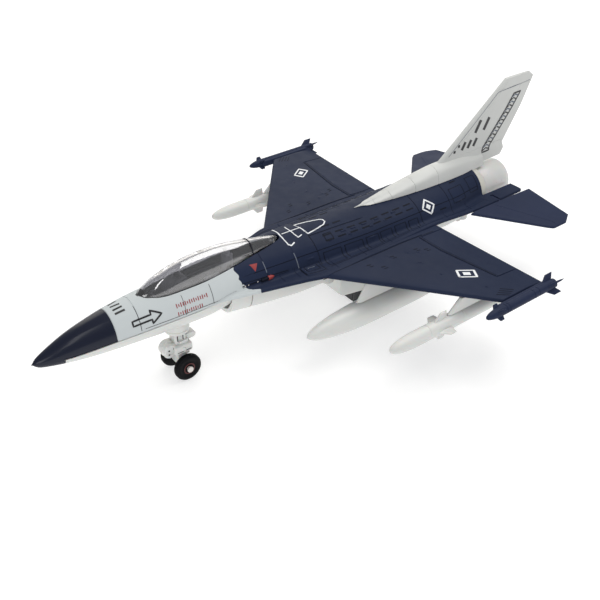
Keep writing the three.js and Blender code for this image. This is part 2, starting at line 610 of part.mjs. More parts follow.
function wheel({ radius, width, axleRadius }) {
  const bore = axleRadius + GAP;
  const half = width / 2;
  const profile = [[-half, bore], [-half, radius - 0.5], [-half + 0.5, radius], [half - 0.5, radius],
    [half, radius - 0.5], [half, radius * 0.55], [half - 0.3, radius * 0.5], [half - 0.3, bore],
    [-half, bore]];
  return turned(profile, 20).rotateZ(-Math.PI / 2);
}

function axle({ inner, width, axleRadius }) {
  const half = inner + width;
  const shaft = cylinder(axleRadius, 2 * half + 1, 'x', 0, 0, 0, 10);
  const heads = [-1, 1].map((side) => cylinder(axleRadius * 1.5, 0.5, 'x', side * (half + 0.55), 0, 0, 10));
  return join(shaft, ...heads);
}

// ---- spring motor ----
// A gear about the x axis with involute flanks and running clearance; phase turns it by a tooth fraction.
function gear({ teeth, right, width, bore }, phase) {
  const pitch = MODULE * teeth / 2;
  const base = pitch * Math.cos(Math.PI / 9);
  const involute = (r) => {
    const a = Math.acos(Math.min(1, base / r));
    return Math.tan(a) - a;
  };
  const halfTooth = 0.40 * Math.PI / teeth;
  const outline = [];
  for (let k = 0; k < teeth; k++) {
    const centre = 2 * Math.PI * (k + phase) / teeth;
    const flank = [pitch - 1.15 * MODULE, pitch + 0.75 * MODULE].map((r) => {
      const turn = halfTooth + involute(pitch) - involute(Math.max(r, base));
      return [r, Math.max(turn, 0.03)];
    });
    const corner = (r, angle) => outline.push([r * Math.cos(angle), r * Math.sin(angle)]);
    flank.forEach(([r, turn]) => corner(r, centre - turn));
    flank.reverse().forEach(([r, turn]) => corner(r, centre + turn));
  }
  const shape = plate(outline, width, 'yz').translate(right + width / 2, 0, 0);
  return bore ? cut(shape, cylinder(bore, width + 1, 'x', right + width / 2, 0, 0, 12)) : shape;
}

const angleTo = (from, to) => Math.atan2(to.z - from.z, to.y - from.y);
// The phase that puts a tooth of one gear, or a gap of the other, on their line of centres.
const toothAt = (teeth, angle) => (angle / (2 * Math.PI)) * teeth;
const gapAt = (teeth, angle) => toothAt(teeth, angle) + 0.5;

function idlerGear() {
  const wheelPart = gear({ ...IDLER, bore: 0 }, gapAt(IDLER.teeth, angleTo(IDLER, AXLE_GEAR)));
  const pinion = gear({ ...PINION, bore: 0 }, toothAt(PINION.teeth, angleTo(IDLER, BARREL)));
  return cut(join(wheelPart, pinion), cylinder(IDLER.bore, 8, 'x', PINION.right, 0, 0, 12));
}

const DRUM = { outer: 5.1, inner: 4.6, left: 5.0 };

function springBarrel() {
  const base = gear({ ...BARREL, bore: 0 }, gapAt(BARREL.teeth, angleTo(BARREL, IDLER)));
  const floor = BARREL.right + BARREL.width;
  const drum = cylinder(DRUM.outer, DRUM.left - floor + 0.1, 'x', (DRUM.left + floor) / 2, 0, 0, 24);
  const inside = cylinder(DRUM.inner, 10, 'x', floor + 5, 0, 0, 24);
  return cut(join(base, drum), inside, cylinder(BARREL.bore, 12, 'x', 0, 0, 0, 12));
}

const SPRING = { start: 1.9, turns: 3.5, pitch: 0.62, thick: 0.25, right: -1.1, left: 4.6, steps: 12 };

function mainspring() {
  const rings = [];
  const count = Math.round(SPRING.turns * SPRING.steps);
  for (let i = 0; i <= count; i++) {
    const angle = 2 * Math.PI * i / SPRING.steps;
    const r = SPRING.start + SPRING.pitch * i / SPRING.steps;
    const section = [[SPRING.right, r], [SPRING.left, r], [SPRING.left, r + SPRING.thick],
      [SPRING.right, r + SPRING.thick]];
    rings.push(section.map(([x, radius]) =>
      new THREE.Vector3(x, radius * Math.cos(angle), radius * Math.sin(angle))));
  }
  return loft(rings);
}

function motorCase() {
  const { left, right, front, back, floor, roof, wall } = MOTOR;
  const [x, y, z] = [(left + right) / 2, (front + back) / 2, (floor + roof) / 2];
  const outer = box(x, y, z, left - right, back - front, roof - floor);
  const openSide = 6;
  const room = box(x + openSide / 2, y, z, left - right - 2 * wall + openSide,
    back - front - 2 * wall, roof - floor - 2 * wall);
  const bore = cylinder(MAIN_WHEEL.axleRadius + GAP, 20, 'x', 0, AXLE_GEAR.y, AXLE_GEAR.z, 14);
  return cut(outer, room, bore);
}

function motorCover() {
  const { left, front, back, floor, roof } = MOTOR;
  const lid = box(left + 0.8, (front + back) / 2, (floor + roof) / 2, 1.0, back - front, roof - floor);
  return cut(lid, cylinder(MAIN_WHEEL.axleRadius + GAP, 6, 'x', left, AXLE_GEAR.y, AXLE_GEAR.z, 14));
}

// ---- light and sound ----
function soundButton() {
  const cap = post(BUTTON.radius, 0, 0, BUTTON.bottom, BUTTON.flange + 0.1, 18);
  const flange = post(BUTTON.radius + BUTTON.rim, 0, 0, BUTTON.flange, BUTTON.flange + 0.8, 18);
  const stem = post(1.0, 0, 0, BUTTON.flange + 0.7, BUTTON.stemTop, 10);
  return join(cap, flange, stem);
}

function tactSwitch() {
  const { size, top, bottom, plunger, reach } = SWITCH;
  const body = box(0, 0, (top + bottom) / 2, size, size, top - bottom);
  return join(body, post(plunger, 0, 0, bottom - reach, bottom + 0.1, 10));
}

// A domed lamp on a collar, as rows of y and radius.
function led() {
  const profile = [[177.0, 0], [177.0, 2.9], [178.0, 2.9], [178.0, 2.45], [183.0, 2.45], [184.6, 1.8],
    [185.3, 0]];
  return turned(profile, 14);
}

function speaker() {
  const body = post(SPEAKER.radius, 0, SPEAKER.y, SPEAKER.bottom, SPEAKER.bottom + SPEAKER.height, 24);
  const back = SPEAKER.bottom + SPEAKER.height;
  const magnet = post(3.6, 0, SPEAKER.y, back - 0.1, back + 1.6, 18);
  return join(body, magnet);
}

// ---- assembly ----
const group = new THREE.Group();
const airframe = new THREE.Group();
airframe.position.set(0, -LENGTH / 2, WING_HEIGHT);
group.add(airframe);

function add(name, geometry, material, x = 0, y = 0, z = 0) {
  const mesh = new THREE.Mesh(geometry, material);
  mesh.name = name;
  mesh.position.set(x, y, z);
  airframe.add(mesh);
}

add('upper_shell', upperShell(), navy());
add('lower_shell', lowerShell(), offWhite());
add('intake_lip', intakeLip(), offWhite());
add('tail_fin', tailFin(), white());
add('nozzle_ring', nozzleRing(), offWhite(), 0, 0, NOZZLE.z);
add('nozzle', nozzle(), white(), 0, 0, NOZZLE.z);
add('cockpit_tub', tub(), paint(0x3b3d42));
add('ejection_seat', seat(), paint(0x2c2e33));
add('instrument_coaming', coaming(), paint(0x1d1e22));
add('canopy', canopy(), paint(0x6a6c70, 0.08));
add('canopy_hinge_pin', cylinder(HINGE.pin, 2 * HINGE.halfLength, 'x', 0, 0, 0, 10), steel(),
  0, HINGE.y, HINGE.z);

for (const [label, side] of [['left', 1], ['right', -1]]) {
  add(`stabilator_${label}`, stabilator(side), navy());
  add(`wingtip_missile_${label}`, wingtipMissile(side), navy(), side * RAIL.x, RAIL.front, RAIL.z);
  add(`fuel_tank_${label}`, tank(), white(), side * TANK.x, 0, TANK.z);
  add(`tank_pylon_${label}`, pylon(TANK_PYLON), white(), side * TANK.x, 0, 0);
  add(`underwing_missile_${label}`, missile(), white(), side * STORE.x, STORE.front, STORE.z);
  add(`missile_pylon_${label}`, pylon(STORE_PYLON), white(), side * STORE.x, 0, 0);
  for (const [place, size] of [['nose', NOSE_WHEEL], ['main', MAIN_WHEEL]]) {
    const turn = side > 0 ? 0 : Math.PI;
    add(`${place}_wheel_${label}`, wheel(size).rotateZ(turn), black(),
      side * (size.inner + size.width / 2), size.y, size.radius - WING_HEIGHT);
  }
}

add('nose_gear_leg', noseLeg(), white(), 0, LEG.y, 0);
add('nose_gear_screw', screw(5.4).rotateX(Math.PI), steel(), 0, LEG.y, -2.2);
add('nose_axle', axle(NOSE_WHEEL), steel(), 0, NOSE_WHEEL.y, NOSE_WHEEL.radius - WING_HEIGHT);
add('main_axle', axle(MAIN_WHEEL), steel(), 0, MAIN_WHEEL.y, MAIN_WHEEL.radius - WING_HEIGHT);

add('motor_case', motorCase(), black());
add('motor_cover', motorCover(), black());
add('axle_gear', gear(AXLE_GEAR, toothAt(AXLE_GEAR.teeth, angleTo(AXLE_GEAR, IDLER))), offWhite(),
  0, AXLE_GEAR.y, AXLE_GEAR.z);
add('idler_gear', idlerGear(), offWhite(), 0, IDLER.y, IDLER.z);
add('spring_barrel', springBarrel(), offWhite(), 0, BARREL.y, BARREL.z);
add('mainspring', mainspring(), steel(), 0, BARREL.y, BARREL.z);
add('idler_shaft', cylinder(SHAFTS.idler, SHAFTS.length, 'x', SHAFTS.x, 0, 0, 10), steel(),
  0, IDLER.y, IDLER.z);
add('barrel_arbor', cylinder(SHAFTS.arbor, SHAFTS.length, 'x', SHAFTS.x, 0, 0, 12), steel(),
  0, BARREL.y, BARREL.z);

for (let i = 0; i < CELL.count; i++) {
  const y = CELL.front + CELL.height / 2 + i * (CELL.height + GAP);
  add(`button_cell_${i + 1}`, cylinder(CELL.radius, CELL.height, 'y', 0, 0, 0, 24), steel(), 0, y, CELL.z);
}
const CONTACT = { size: 9, thick: 0.4 };
const stackEnd = CELL.front + CELL.count * (CELL.height + GAP);
const contact = () => box(0, 0, 0, CONTACT.size, CONTACT.thick, CONTACT.size);
add('battery_contact_front', contact(), steel(), 0, CELL.front - 0.5, CELL.z);
add('battery_contact_rear', contact(), steel(), 0, stackEnd + 0.2, CELL.z);
add('battery_cover', batteryCover(), offWhite());
add('battery_cover_screw', screw(4.2, COVER_SCREW), steel(), 0, COVER.rib, COVER_SCREW.seat);
add('circuit_board', box(0, 0, 0, BOARD.width, BOARD.length, BOARD.thick), paint(0x2f6b3a, 0.6),
  0, BUTTON.y, BOARD.z);
add('tact_switch', tactSwitch(), black(), 0, BUTTON.y, 0);
add('sound_button', soundButton(), paint(0xb02a24), 0, BUTTON.y, 0);
add('nozzle_led', led(), paint(0xd8d4c8, 0.1), 0, 0, NOZZLE.z);
add('speaker', speaker(), black());
for (const { name, x, y, seat: seatZ } of BODY_SCREWS) {
  add(name, screw(SCREW.length), steel(), x, y, seatZ);
}

export default group;
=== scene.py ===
# Looks of a die-cast pull-back jet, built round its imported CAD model.
# Airframe coordinates: x to port, y aft from the nose tip, z up from the wing plane, millimetres.
import functools
import math
import bmesh
import bpy
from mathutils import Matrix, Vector


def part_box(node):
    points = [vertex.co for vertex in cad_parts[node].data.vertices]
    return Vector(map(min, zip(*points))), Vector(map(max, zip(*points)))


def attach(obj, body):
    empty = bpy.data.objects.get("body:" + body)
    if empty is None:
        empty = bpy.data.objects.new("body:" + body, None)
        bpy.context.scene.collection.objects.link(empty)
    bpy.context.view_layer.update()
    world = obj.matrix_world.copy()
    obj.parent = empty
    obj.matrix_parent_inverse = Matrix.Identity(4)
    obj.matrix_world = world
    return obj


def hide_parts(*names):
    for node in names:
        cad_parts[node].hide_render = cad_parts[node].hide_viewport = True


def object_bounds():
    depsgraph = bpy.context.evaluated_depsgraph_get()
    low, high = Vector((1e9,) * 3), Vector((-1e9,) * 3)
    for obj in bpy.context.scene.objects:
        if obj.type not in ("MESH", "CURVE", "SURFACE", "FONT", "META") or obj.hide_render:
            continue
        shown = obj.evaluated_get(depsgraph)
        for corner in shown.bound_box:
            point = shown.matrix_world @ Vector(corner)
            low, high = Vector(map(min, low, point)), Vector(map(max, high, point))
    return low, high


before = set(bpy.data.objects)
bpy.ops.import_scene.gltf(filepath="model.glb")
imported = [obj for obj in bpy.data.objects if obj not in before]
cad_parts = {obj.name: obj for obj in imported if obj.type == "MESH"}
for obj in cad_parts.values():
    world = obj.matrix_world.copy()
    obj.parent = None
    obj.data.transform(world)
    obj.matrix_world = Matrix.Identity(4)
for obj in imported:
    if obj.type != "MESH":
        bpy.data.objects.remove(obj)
cad_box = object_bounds()

# ---- frame ----
MM = 0.001
RAIL_LIFT = 0.3
NOSE_Y = cad_box[0].y
rail_low, rail_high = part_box("wingtip_missile_left")
WING_Z = (rail_low.z + rail_high.z) / 2 - RAIL_LIFT * MM
RAIL_X = (rail_low.x + rail_high.x) / 2 / MM


def at(x, y, z):
    """Airframe millimetres to row-frame metres."""
    return Vector((x * MM, NOSE_Y + y * MM, WING_Z + z * MM))


def middle(node):
    """The centre of a CAD node's box, in airframe millimetres."""
    low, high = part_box(node)
    centre = (low + high) / 2
    return (centre.x / MM, (centre.y - NOSE_Y) / MM, (centre.z - WING_Z) / MM)


# ---- camera, studio ----
CAMERA = {"azimuth": 52.36, "elevation": 32.39, "roll": 0.225, "distance": 291.7, "aim": (0, 100.7, 0)}
LENS = {"focal": 50.22, "shift_x": -0.01595, "shift_y": -0.0844}


def make_camera():
    data = bpy.data.cameras.new("camera")
    data.lens = LENS["focal"]
    data.sensor_width = 36
    data.shift_x = LENS["shift_x"]
    data.shift_y = LENS["shift_y"]
    data.clip_start = 0.01
    camera = bpy.data.objects.new("camera", data)
    bpy.context.scene.collection.objects.link(camera)
    turn = math.radians(CAMERA["azimuth"])
    lift = math.radians(CAMERA["elevation"])
    back = Vector((math.sin(turn) * math.cos(lift), -math.cos(turn) * math.cos(lift), math.sin(lift)))
    camera.location = at(*CAMERA["aim"]) + back * CAMERA["distance"] * MM
    camera.rotation_euler = (-back).to_track_quat("-Z", "Y").to_euler()
    camera.rotation_euler.rotate_axis("Z", math.radians(CAMERA["roll"]))
    bpy.context.scene.camera = camera


# Name, place, target, width, height, power and colour of each area light.
SOFTBOXES = [
    ("top_softbox", (0.02, 0.33, 0.75), (0, 0.05, 0), 0.66, 0.62, 4.4, (1.0, 0.985, 0.95)),
    ("side_softbox", (-0.78, 0.34, 0.50), (0, 0, 0.02), 0.95, 0.72, 3.2, (1.0, 0.965, 0.88)),
    ("front_softbox", (0.55, -0.75, 0.35), (0, 0, 0.02), 0.5, 0.4, 1.7, (1, 1, 1)),
    ("nose_strip", (0.47, -0.31, 0.74), (0, -0.1, 0), 0.10, 0.5, 0.6, (1, 1, 1)),
]
SKY = {"color": (0.96, 0.97, 1.0, 1), "strength": 0.36}
FLOOR = {"reach": 4.0, "drop": 0.00002, "albedo": 0.55, "glow": 0.58}


def softbox(name, position, target, width, height, power, color):
    data = bpy.data.lights.new(name, "AREA")
    data.shape = "RECTANGLE"
    data.size = width
    data.size_y = height
    data.energy = power
    data.color = color
    light = bpy.data.objects.new(name, data)
    light.location = position
    light.rotation_euler = (Vector(target) - Vector(position)).to_track_quat("-Z", "Y").to_euler()
    bpy.context.scene.collection.objects.link(light)


def studio():
    world = bpy.data.worlds.new("studio")
    world.use_nodes = True
    sky = world.node_tree.nodes["Background"]
    sky.inputs["Color"].default_value = SKY["color"]
    sky.inputs["Strength"].default_value = SKY["strength"]
    bpy.context.scene.world = world
    bpy.context.scene.view_settings.view_transform = "Standard"
    for light in SOFTBOXES:
        softbox(*light)
    size = FLOOR["reach"]
    mesh = bpy.data.meshes.new("floor")
    corners = [(-size, -size, 0), (size, -size, 0), (size, size, 0), (-size, size, 0)]
    mesh.from_pydata(corners, [], [(0, 1, 2, 3)])
    floor = bpy.data.objects.new("floor", mesh)
    floor.location.z = cad_box[0].z - FLOOR["drop"]
    bpy.context.scene.collection.objects.link(floor)
    mesh.materials.append(finish("studio_floor", (FLOOR["albedo"],) * 3, rough=0.7, vary=0.01, grain=0,
                                 Emission_Color=(1, 1, 1, 1), Emission_Strength=FLOOR["glow"]))


# ---- materials ----
ROUGH_SPREAD = 0.25
BUMP_STRENGTH = 0.8


def calc(tree, operation, a, b=None, clamp=False):
    """A math node on sockets or numbers; returns its output."""
    node = tree.nodes.new("ShaderNodeMath")
    node.operation = operation
    node.use_clamp = clamp
    for slot, value in enumerate([a] if b is None else [a, b]):
        if isinstance(value, (int, float)):
            node.inputs[slot].default_value = value
        else:
            tree.links.new(value, node.inputs[slot])
    return node.outputs[0]


def noise(tree, size, detail=3.0):
    """Noise over the object, with features about size millimetres across; returns its output."""
    place = tree.nodes.new("ShaderNodeTexCoord")
    node = tree.nodes.new("ShaderNodeTexNoise")
    node.inputs["Scale"].default_value = 1 / (size * MM)
    node.inputs["Detail"].default_value = detail
    tree.links.new(place.outputs["Object"], node.inputs["Vector"])
    return node.outputs["Fac"]


def blend_colors(tree, factor, a, b):
    """A colour mix of two colours or sockets; returns its output."""
    node = tree.nodes.new("ShaderNodeMix")
    node.data_type = "RGBA"
    tree.links.new(factor, node.inputs["Factor"])
    for name, value in (("A", a), ("B", b)):
        socket = next(s for s in node.inputs if s.name == name and s.type == "RGBA")
        if isinstance(value, tuple):
            socket.default_value = (*value, 1)
        else:
            tree.links.new(value, socket)
    return next(s for s in node.outputs if s.type == "RGBA")


def varied(tree, color, vary, blotch):
    """The colour, a little lighter and darker in soft patches; returns its output."""
    dark = tuple(c * (1 - vary) for c in color)
    light = tuple(min(1, c * (1 + vary)) for c in color)
    return blend_colors(tree, noise(tree, blotch), dark, light)


def finish(name, color, rough=0.4, metal=0.0, vary=0.06, blotch=9.0, grain=0.35, depth=0.006, paint=None,
           **sockets):
    """A surface whose colour, roughness and fine relief all vary a little."""
    material = bpy.data.materials.new(name)
    material.use_nodes = True
    tree = material.node_tree
    shader = tree.nodes["Principled BSDF"]
    base = varied(tree, color, vary, blotch)
    if paint:
        base = paint(tree, base)
    tree.links.new(base, shader.inputs["Base Color"])
    spread = calc(tree, "MULTIPLY", calc(tree, "SUBTRACT", noise(tree, blotch * 0.4), 0.5), ROUGH_SPREAD)
    tree.links.new(calc(tree, "ADD", spread, rough, clamp=True), shader.inputs["Roughness"])
    shader.inputs["Metallic"].default_value = metal
    for socket, value in sockets.items():
        shader.inputs[socket.replace("_", " ")].default_value = value
    if grain:
        bump = tree.nodes.new("ShaderNodeBump")
        bump.inputs["Distance"].default_value = depth * MM
        bump.inputs["Strength"].default_value = BUMP_STRENGTH
        tree.links.new(noise(tree, grain, 2.0), bump.inputs["Height"])
        tree.links.new(bump.outputs["Normal"], shader.inputs["Normal"])
    return material


def ramp(tree, value, start, end):
    """0 before start, 1 after end, straight between; returns its output."""
    return calc(tree, "DIVIDE", calc(tree, "SUBTRACT", value, start), end - start, clamp=True)


WHITE_PAINT = (0.56, 0.60, 0.61)
NAVY_PAINT = (0.011, 0.017, 0.040)
CONE_PAINT = (0.005, 0.008, 0.022)
SLATE_PAINT = (0.023, 0.032, 0.066)
RADOME_LINE = 24.2
PAINT = {"mask": 66.3, "sweep": 1.25, "side": 8.0, "widest": 12.0, "blur": 0.05, "coat": 0.02}
CONE_COAT = 0.52
WAVE = {"size": 2.2, "height": 2.4}
NAVY_PATCH = 26.0


def two_tone(tree, white):
    """White between the nose cone and the cockpit, navy before and after it, masked with a wavy edge."""
    place = tree.nodes.new("ShaderNodeTexCoord")
    axes = tree.nodes.new("ShaderNodeSeparateXYZ")
    tree.links.new(place.outputs["Object"], axes.inputs[0])
    y = calc(tree, "DIVIDE", calc(tree, "SUBTRACT", axes.outputs["Y"], NOSE_Y), MM)
    side = calc(tree, "MINIMUM", calc(tree, "DIVIDE", calc(tree, "ABSOLUTE", axes.outputs["X"]), MM),
                PAINT["widest"])
    swept = calc(tree, "MAXIMUM", calc(tree, "SUBTRACT", side, PAINT["side"]), 0.0)
    edge = calc(tree, "ADD", calc(tree, "MULTIPLY", swept, PAINT["sweep"]), PAINT["mask"])
    wave = calc(tree, "MULTIPLY", calc(tree, "SUBTRACT", noise(tree, WAVE["size"], 1.0), 0.5), WAVE["height"])
    blur = PAINT["blur"]
    aft = ramp(tree, calc(tree, "SUBTRACT", y, calc(tree, "ADD", edge, wave)), -blur, blur)
    cone = calc(tree, "SUBTRACT", 1.0, ramp(tree, y, RADOME_LINE - blur, RADOME_LINE + blur))
    navy = blend_colors(tree, noise(tree, NAVY_PATCH, 4.0), NAVY_PAINT, SLATE_PAINT)
    tree.links.new(calc(tree, "ADD", calc(tree, "MULTIPLY", cone, CONE_COAT), PAINT["coat"]),
                   tree.nodes["Principled BSDF"].inputs["Coat Weight"])
    return blend_colors(tree, cone, blend_colors(tree, aft, white, navy), CONE_PAINT)


MATERIALS = {
    "body_paint": finish("body_paint", WHITE_PAINT, 0.5, vary=0.03, grain=0.5, depth=0.004, paint=two_tone,
                         Coat_Roughness=0.2, Specular_IOR_Level=0.07),
    "navy_plastic": finish("navy_plastic", (0.021, 0.029, 0.063), 0.5, vary=0.14, blotch=14,
                           Specular_IOR_Level=0.09),
    "white_plastic": finish("white_plastic", (0.67, 0.68, 0.66), 0.36, vary=0.035, blotch=16,
                            Subsurface_Weight=0.12, Subsurface_Scale=0.001),
    "cream_plastic": finish("cream_plastic", (0.63, 0.62, 0.56), 0.42, vary=0.04, blotch=14),
    "fin_paint": finish("fin_paint", (0.59, 0.60, 0.585), 0.45, vary=0.05, blotch=11),
    "milky_plastic": finish("milky_plastic", (0.66, 0.66, 0.645), 0.32, vary=0.07, blotch=5,
                            Subsurface_Weight=0.25, Subsurface_Scale=0.001),
    "smoked_canopy": finish("smoked_canopy", (0.56, 0.56, 0.59), 0.02, vary=0.03, grain=0,
                            Transmission_Weight=1.0, IOR=1.5, Coat_Weight=1.0, Coat_Roughness=0.02,
                            Coat_IOR=2.0),
    "cockpit_grey": finish("cockpit_grey", (0.16, 0.163, 0.175), 0.5, vary=0.15, blotch=3),
    "seat_fabric": finish("seat_fabric", (0.62, 0.62, 0.64), 0.6, vary=0.2, blotch=1.5, depth=0.02),
    "wheel_black": finish("wheel_black", (0.004, 0.004, 0.005), 0.5, vary=0.2, blotch=2, depth=0.012,
                          Specular_IOR_Level=0.1),
    "wheel_ring": finish("wheel_ring", (0.10, 0.012, 0.012), 0.5, vary=0.1, blotch=1.5),
    "black_plastic": finish("black_plastic", (0.025, 0.025, 0.028), 0.55, vary=0.15, depth=0.02),
    "gear_plastic": finish("gear_plastic", (0.75, 0.73, 0.66), 0.38, vary=0.05, blotch=3,
                           Subsurface_Weight=0.1, Subsurface_Scale=0.001),
    "steel": finish("steel", (0.55, 0.55, 0.56), 0.28, metal=1.0, vary=0.1, blotch=1.2, grain=0.2),
    "pale_metal": finish("pale_metal", (0.72, 0.68, 0.65), 0.35, metal=0.3, vary=0.08, blotch=1),
    "red_button": finish("red_button", (0.36, 0.02, 0.015), 0.28, vary=0.08, blotch=3),
    "board_green": finish("board_green", (0.02, 0.11, 0.04), 0.35, vary=0.3, blotch=1.2),
    "lamp_lens": finish("lamp_lens", (0.9, 0.88, 0.84), 0.08, vary=0.02, grain=0, Transmission_Weight=0.9,
                        IOR=1.5),
    "print_white": finish("print_white", (0.80, 0.82, 0.84), 0.45, vary=0.05, blotch=1.5),
    "print_black": finish("print_black", (0.015, 0.015, 0.017), 0.45, vary=0.2, blotch=1.5),
    "print_red": finish("print_red", (0.30, 0.035, 0.035), 0.5, vary=0.15, blotch=1.2),
    # Navy print, also used for painted shade on the nose leg and in the gun trough.
    "navy_print_and_shade": finish("navy_print_and_shade", (0.006, 0.008, 0.016), 0.6, vary=0.2, blotch=2,
                         Specular_IOR_Level=0.1),
    # Grey print on the fin, also used for painted highlights along grooves on the body.
    "grey_print_and_highlight": finish("grey_print_and_highlight", (0.13, 0.15, 0.19), 0.6, vary=0.2, blotch=1.5),
}


# ---- numbers ----
def clamp(t, low=0.0, high=1.0):
    return max(low, min(high, t))


def smooth(t):
    t = clamp(t)
    return t * t * (3 - 2 * t)


def mix(a, b, t):
    return a + (b - a) * t


def follow(table, y):
    """Smooth interpolation through rows (y, value, value, ...) by a monotone-limited cubic."""
    last = len(table) - 1
    if y <= table[0][0]:
        return table[0][1:]
    if y >= table[last][0]:
        return table[last][1:]
    i = next(n for n in range(last) if table[n + 1][0] > y)
    span = table[i + 1][0] - table[i][0]
    t = (y - table[i][0]) / span

    def slope(j, k):
        if j <= 0 or j >= last:
            return 0
        before = (table[j][k] - table[j - 1][k]) / (table[j][0] - table[j - 1][0])
        after = (table[j + 1][k] - table[j][k]) / (table[j + 1][0] - table[j][0])
        return 0 if before * after <= 0 else 2 * before * after / (before + after)

    values = []
    for k in range(1, len(table[0])):
        start, end = table[i][k], table[i + 1][k]
        a, b = slope(i, k) * span, slope(i + 1, k) * span
        values.append(start * (1 + 2 * t) * (1 - t) ** 2 + end * t * t * (3 - 2 * t)
                      + a * t * (1 - t) ** 2 - b * t * t * (1 - t))
    return values


def along(table, u):
    """Straight interpolation through rows (u, value)."""
    for (u0, a), (u1, b) in zip(table, table[1:]):
        if u <= u1:
            return mix(a, b, clamp((u - u0) / (u1 - u0)))
    return table[-1][1]


def stops(start, end, step, marks=()):
    """Even steps from start to end, with the marks between them."""
    count = max(1, round((end - start) / step))
    values = [start + (end - start) * i / count for i in range(count + 1)]
    inner = sorted(m for m in set(marks) if start < m < end)
    near = 0.25 * step
    kept = [v for v in values[1:-1] if all(abs(v - m) > near for m in inner)]
    return sorted([start, end] + kept + inner)


# A relief feature is a raised or sunk rectangle: y from, y to, t from, t to, height, ramp in y, ramp in t.
def relief(features, y, t):
    total = 0.0
    for y0, y1, t0, t1, height, ramp_y, ramp_t in features:
        if y0 < y < y1 and t0 < t < t1:
            total += height * clamp(min(y - y0, y1 - y) / ramp_y) * clamp(min(t - t0, t1 - t) / ramp_t)
    return total


def marks_along(features, first, last, ramp):
    """The grid lines that the features need along one direction."""
    return [m for f in features for m in (f[first], f[first] + f[ramp], f[last] - f[ramp], f[last])]


# ---- mesh building ----
WELD = 0.004
ON_AXIS = 0.001


def build(name, points, faces):
    """A mesh object from points in airframe millimetres, welded, with its faces turned outward."""
    bm = bmesh.new()
    corners = [bm.verts.new(at(*p)) for p in points]
    for face in faces:
        bm.faces.new([corners[i] for i in face])
    bmesh.ops.remove_doubles(bm, verts=bm.verts, dist=WELD * MM)
    bmesh.ops.recalc_face_normals(bm, faces=bm.faces)
    mesh = bpy.data.meshes.new(name)
    bm.to_mesh(mesh)
    bm.free()
    piece = bpy.data.objects.new(name, mesh)
    bpy.context.scene.collection.objects.link(piece)
    return piece


def tube_faces(rows, count, first=0):
    """The faces between closed rings of equal counts, with a cap at each end."""
    faces = []
    for r in range(rows - 1):
        for i in range(count):
            a, b = first + r * count + i, first + r * count + (i + 1) % count
            faces.append((a, b, b + count, a + count))
    end = first + (rows - 1) * count
    return faces + [tuple(range(first, first + count)), tuple(range(end, end + count))]


def loft(name, rings):
    """A closed body through rings of equal counts."""
    return build(name, [p for ring in rings for p in ring], tube_faces(len(rings), len(rings[0])))


def on_circle(centre, axis, reach, radius, turn):
    """A point at a turn round an axis through centre, reach along it and radius from it."""
    a, b = radius * math.cos(turn), radius * math.sin(turn)
    offset = {"x": (reach, a, b), "y": (a, reach, b), "z": (a, b, reach)}[axis]
    return tuple(c + o for c, o in zip(centre, offset))


def turned(name, profile, centre=(0, 0, 0), axis="y", sides=48):
    """A body turned about an axis through centre, from rows (along, radius) that end on the axis."""
    turns = [2 * math.pi * i / sides for i in range(sides)]
    return loft(name, [[on_circle(centre, axis, reach, max(radius, ON_AXIS), turn) for turn in turns]
                       for reach, radius in profile])


def hollow(name, profile, centre=(0, 0, 0), axis="y", sides=48):
    """A turned body with a hole through it, from a closed profile of rows (along, radius)."""
    count = len(profile)
    turns = [2 * math.pi * i / sides for i in range(sides)]
    points = [on_circle(centre, axis, reach, radius, turn) for turn in turns for reach, radius in profile]
    faces = []
    for i in range(sides):
        for k in range(count):
            a, b = i * count + k, i * count + (k + 1) % count
            c, d = ((i + 1) % sides) * count + (k + 1) % count, ((i + 1) % sides) * count + k
            faces.append((a, b, c, d))
    return build(name, points, faces)


def ring_groove(start, radius, wide, deep, step=0.1):
    """Profile rows of a groove turned into a round body."""
    return [(start, radius), (start + step, radius - deep), (start + wide - step, radius - deep),
            (start + wide, radius)]


def post(name, radius, x, y, low, high, bevel=0.0, axis="z", sides=32):
    """A round post with softened rims."""
    edge = [(low, 0), (low, radius - bevel), (low + bevel, radius), (high - bevel, radius),
            (high, radius - bevel), (high, 0)]
    centre = {"z": (x, y, 0), "x": (0, x, y), "y": (x, 0, y)}[axis]
    return turned(name, edge if bevel else [edge[0], (low, radius), (high, radius), edge[-1]], centre, axis,
                  sides)


def block(name, centre, size, bevel=0.0, steps=3):
    """A box with rounded edges."""
    corners = [tuple(c + s * d / 2 for c, s, d in zip(centre, signs, size))
               for signs in [(-1, -1, -1), (1, -1, -1), (1, 1, -1), (-1, 1, -1),
                             (-1, -1, 1), (1, -1, 1), (1, 1, 1), (-1, 1, 1)]]
    faces = [(0, 1, 2, 3), (4, 5, 6, 7), (0, 1, 5, 4), (1, 2, 6, 5), (2, 3, 7, 6), (3, 0, 4, 7)]
    return rounded(build(name, corners, faces), bevel, steps) if bevel else build(name, corners, faces)


def slab(name, outline, low, high, bevel=0.0, plane="yz"):
    """A flat plate: an outline drawn in a plane, from low to high across it, with rounded edges."""
    def lift(a, b, c):
        return {"yz": (c, a, b), "xy": (a, b, c)}[plane]
    rings = [[lift(a, b, c) for a, b in outline] for c in (low, high)]
    piece = loft(name, rings)
    return rounded(piece, bevel, 3) if bevel else piece


def rounded(piece, width, steps=3):
    """Rounds a piece's sharp edges."""
    bm = bmesh.new()
    bm.from_mesh(piece.data)
    sharp = [e for e in bm.edges if e.is_manifold and e.calc_face_angle(0) > math.radians(30)]
    bmesh.ops.bevel(bm, geom=sharp, offset=width * MM, segments=steps, profile=0.5, affect="EDGES",
                    clamp_overlap=True)
    bm.to_mesh(piece.data)
    bm.free()
    return piece


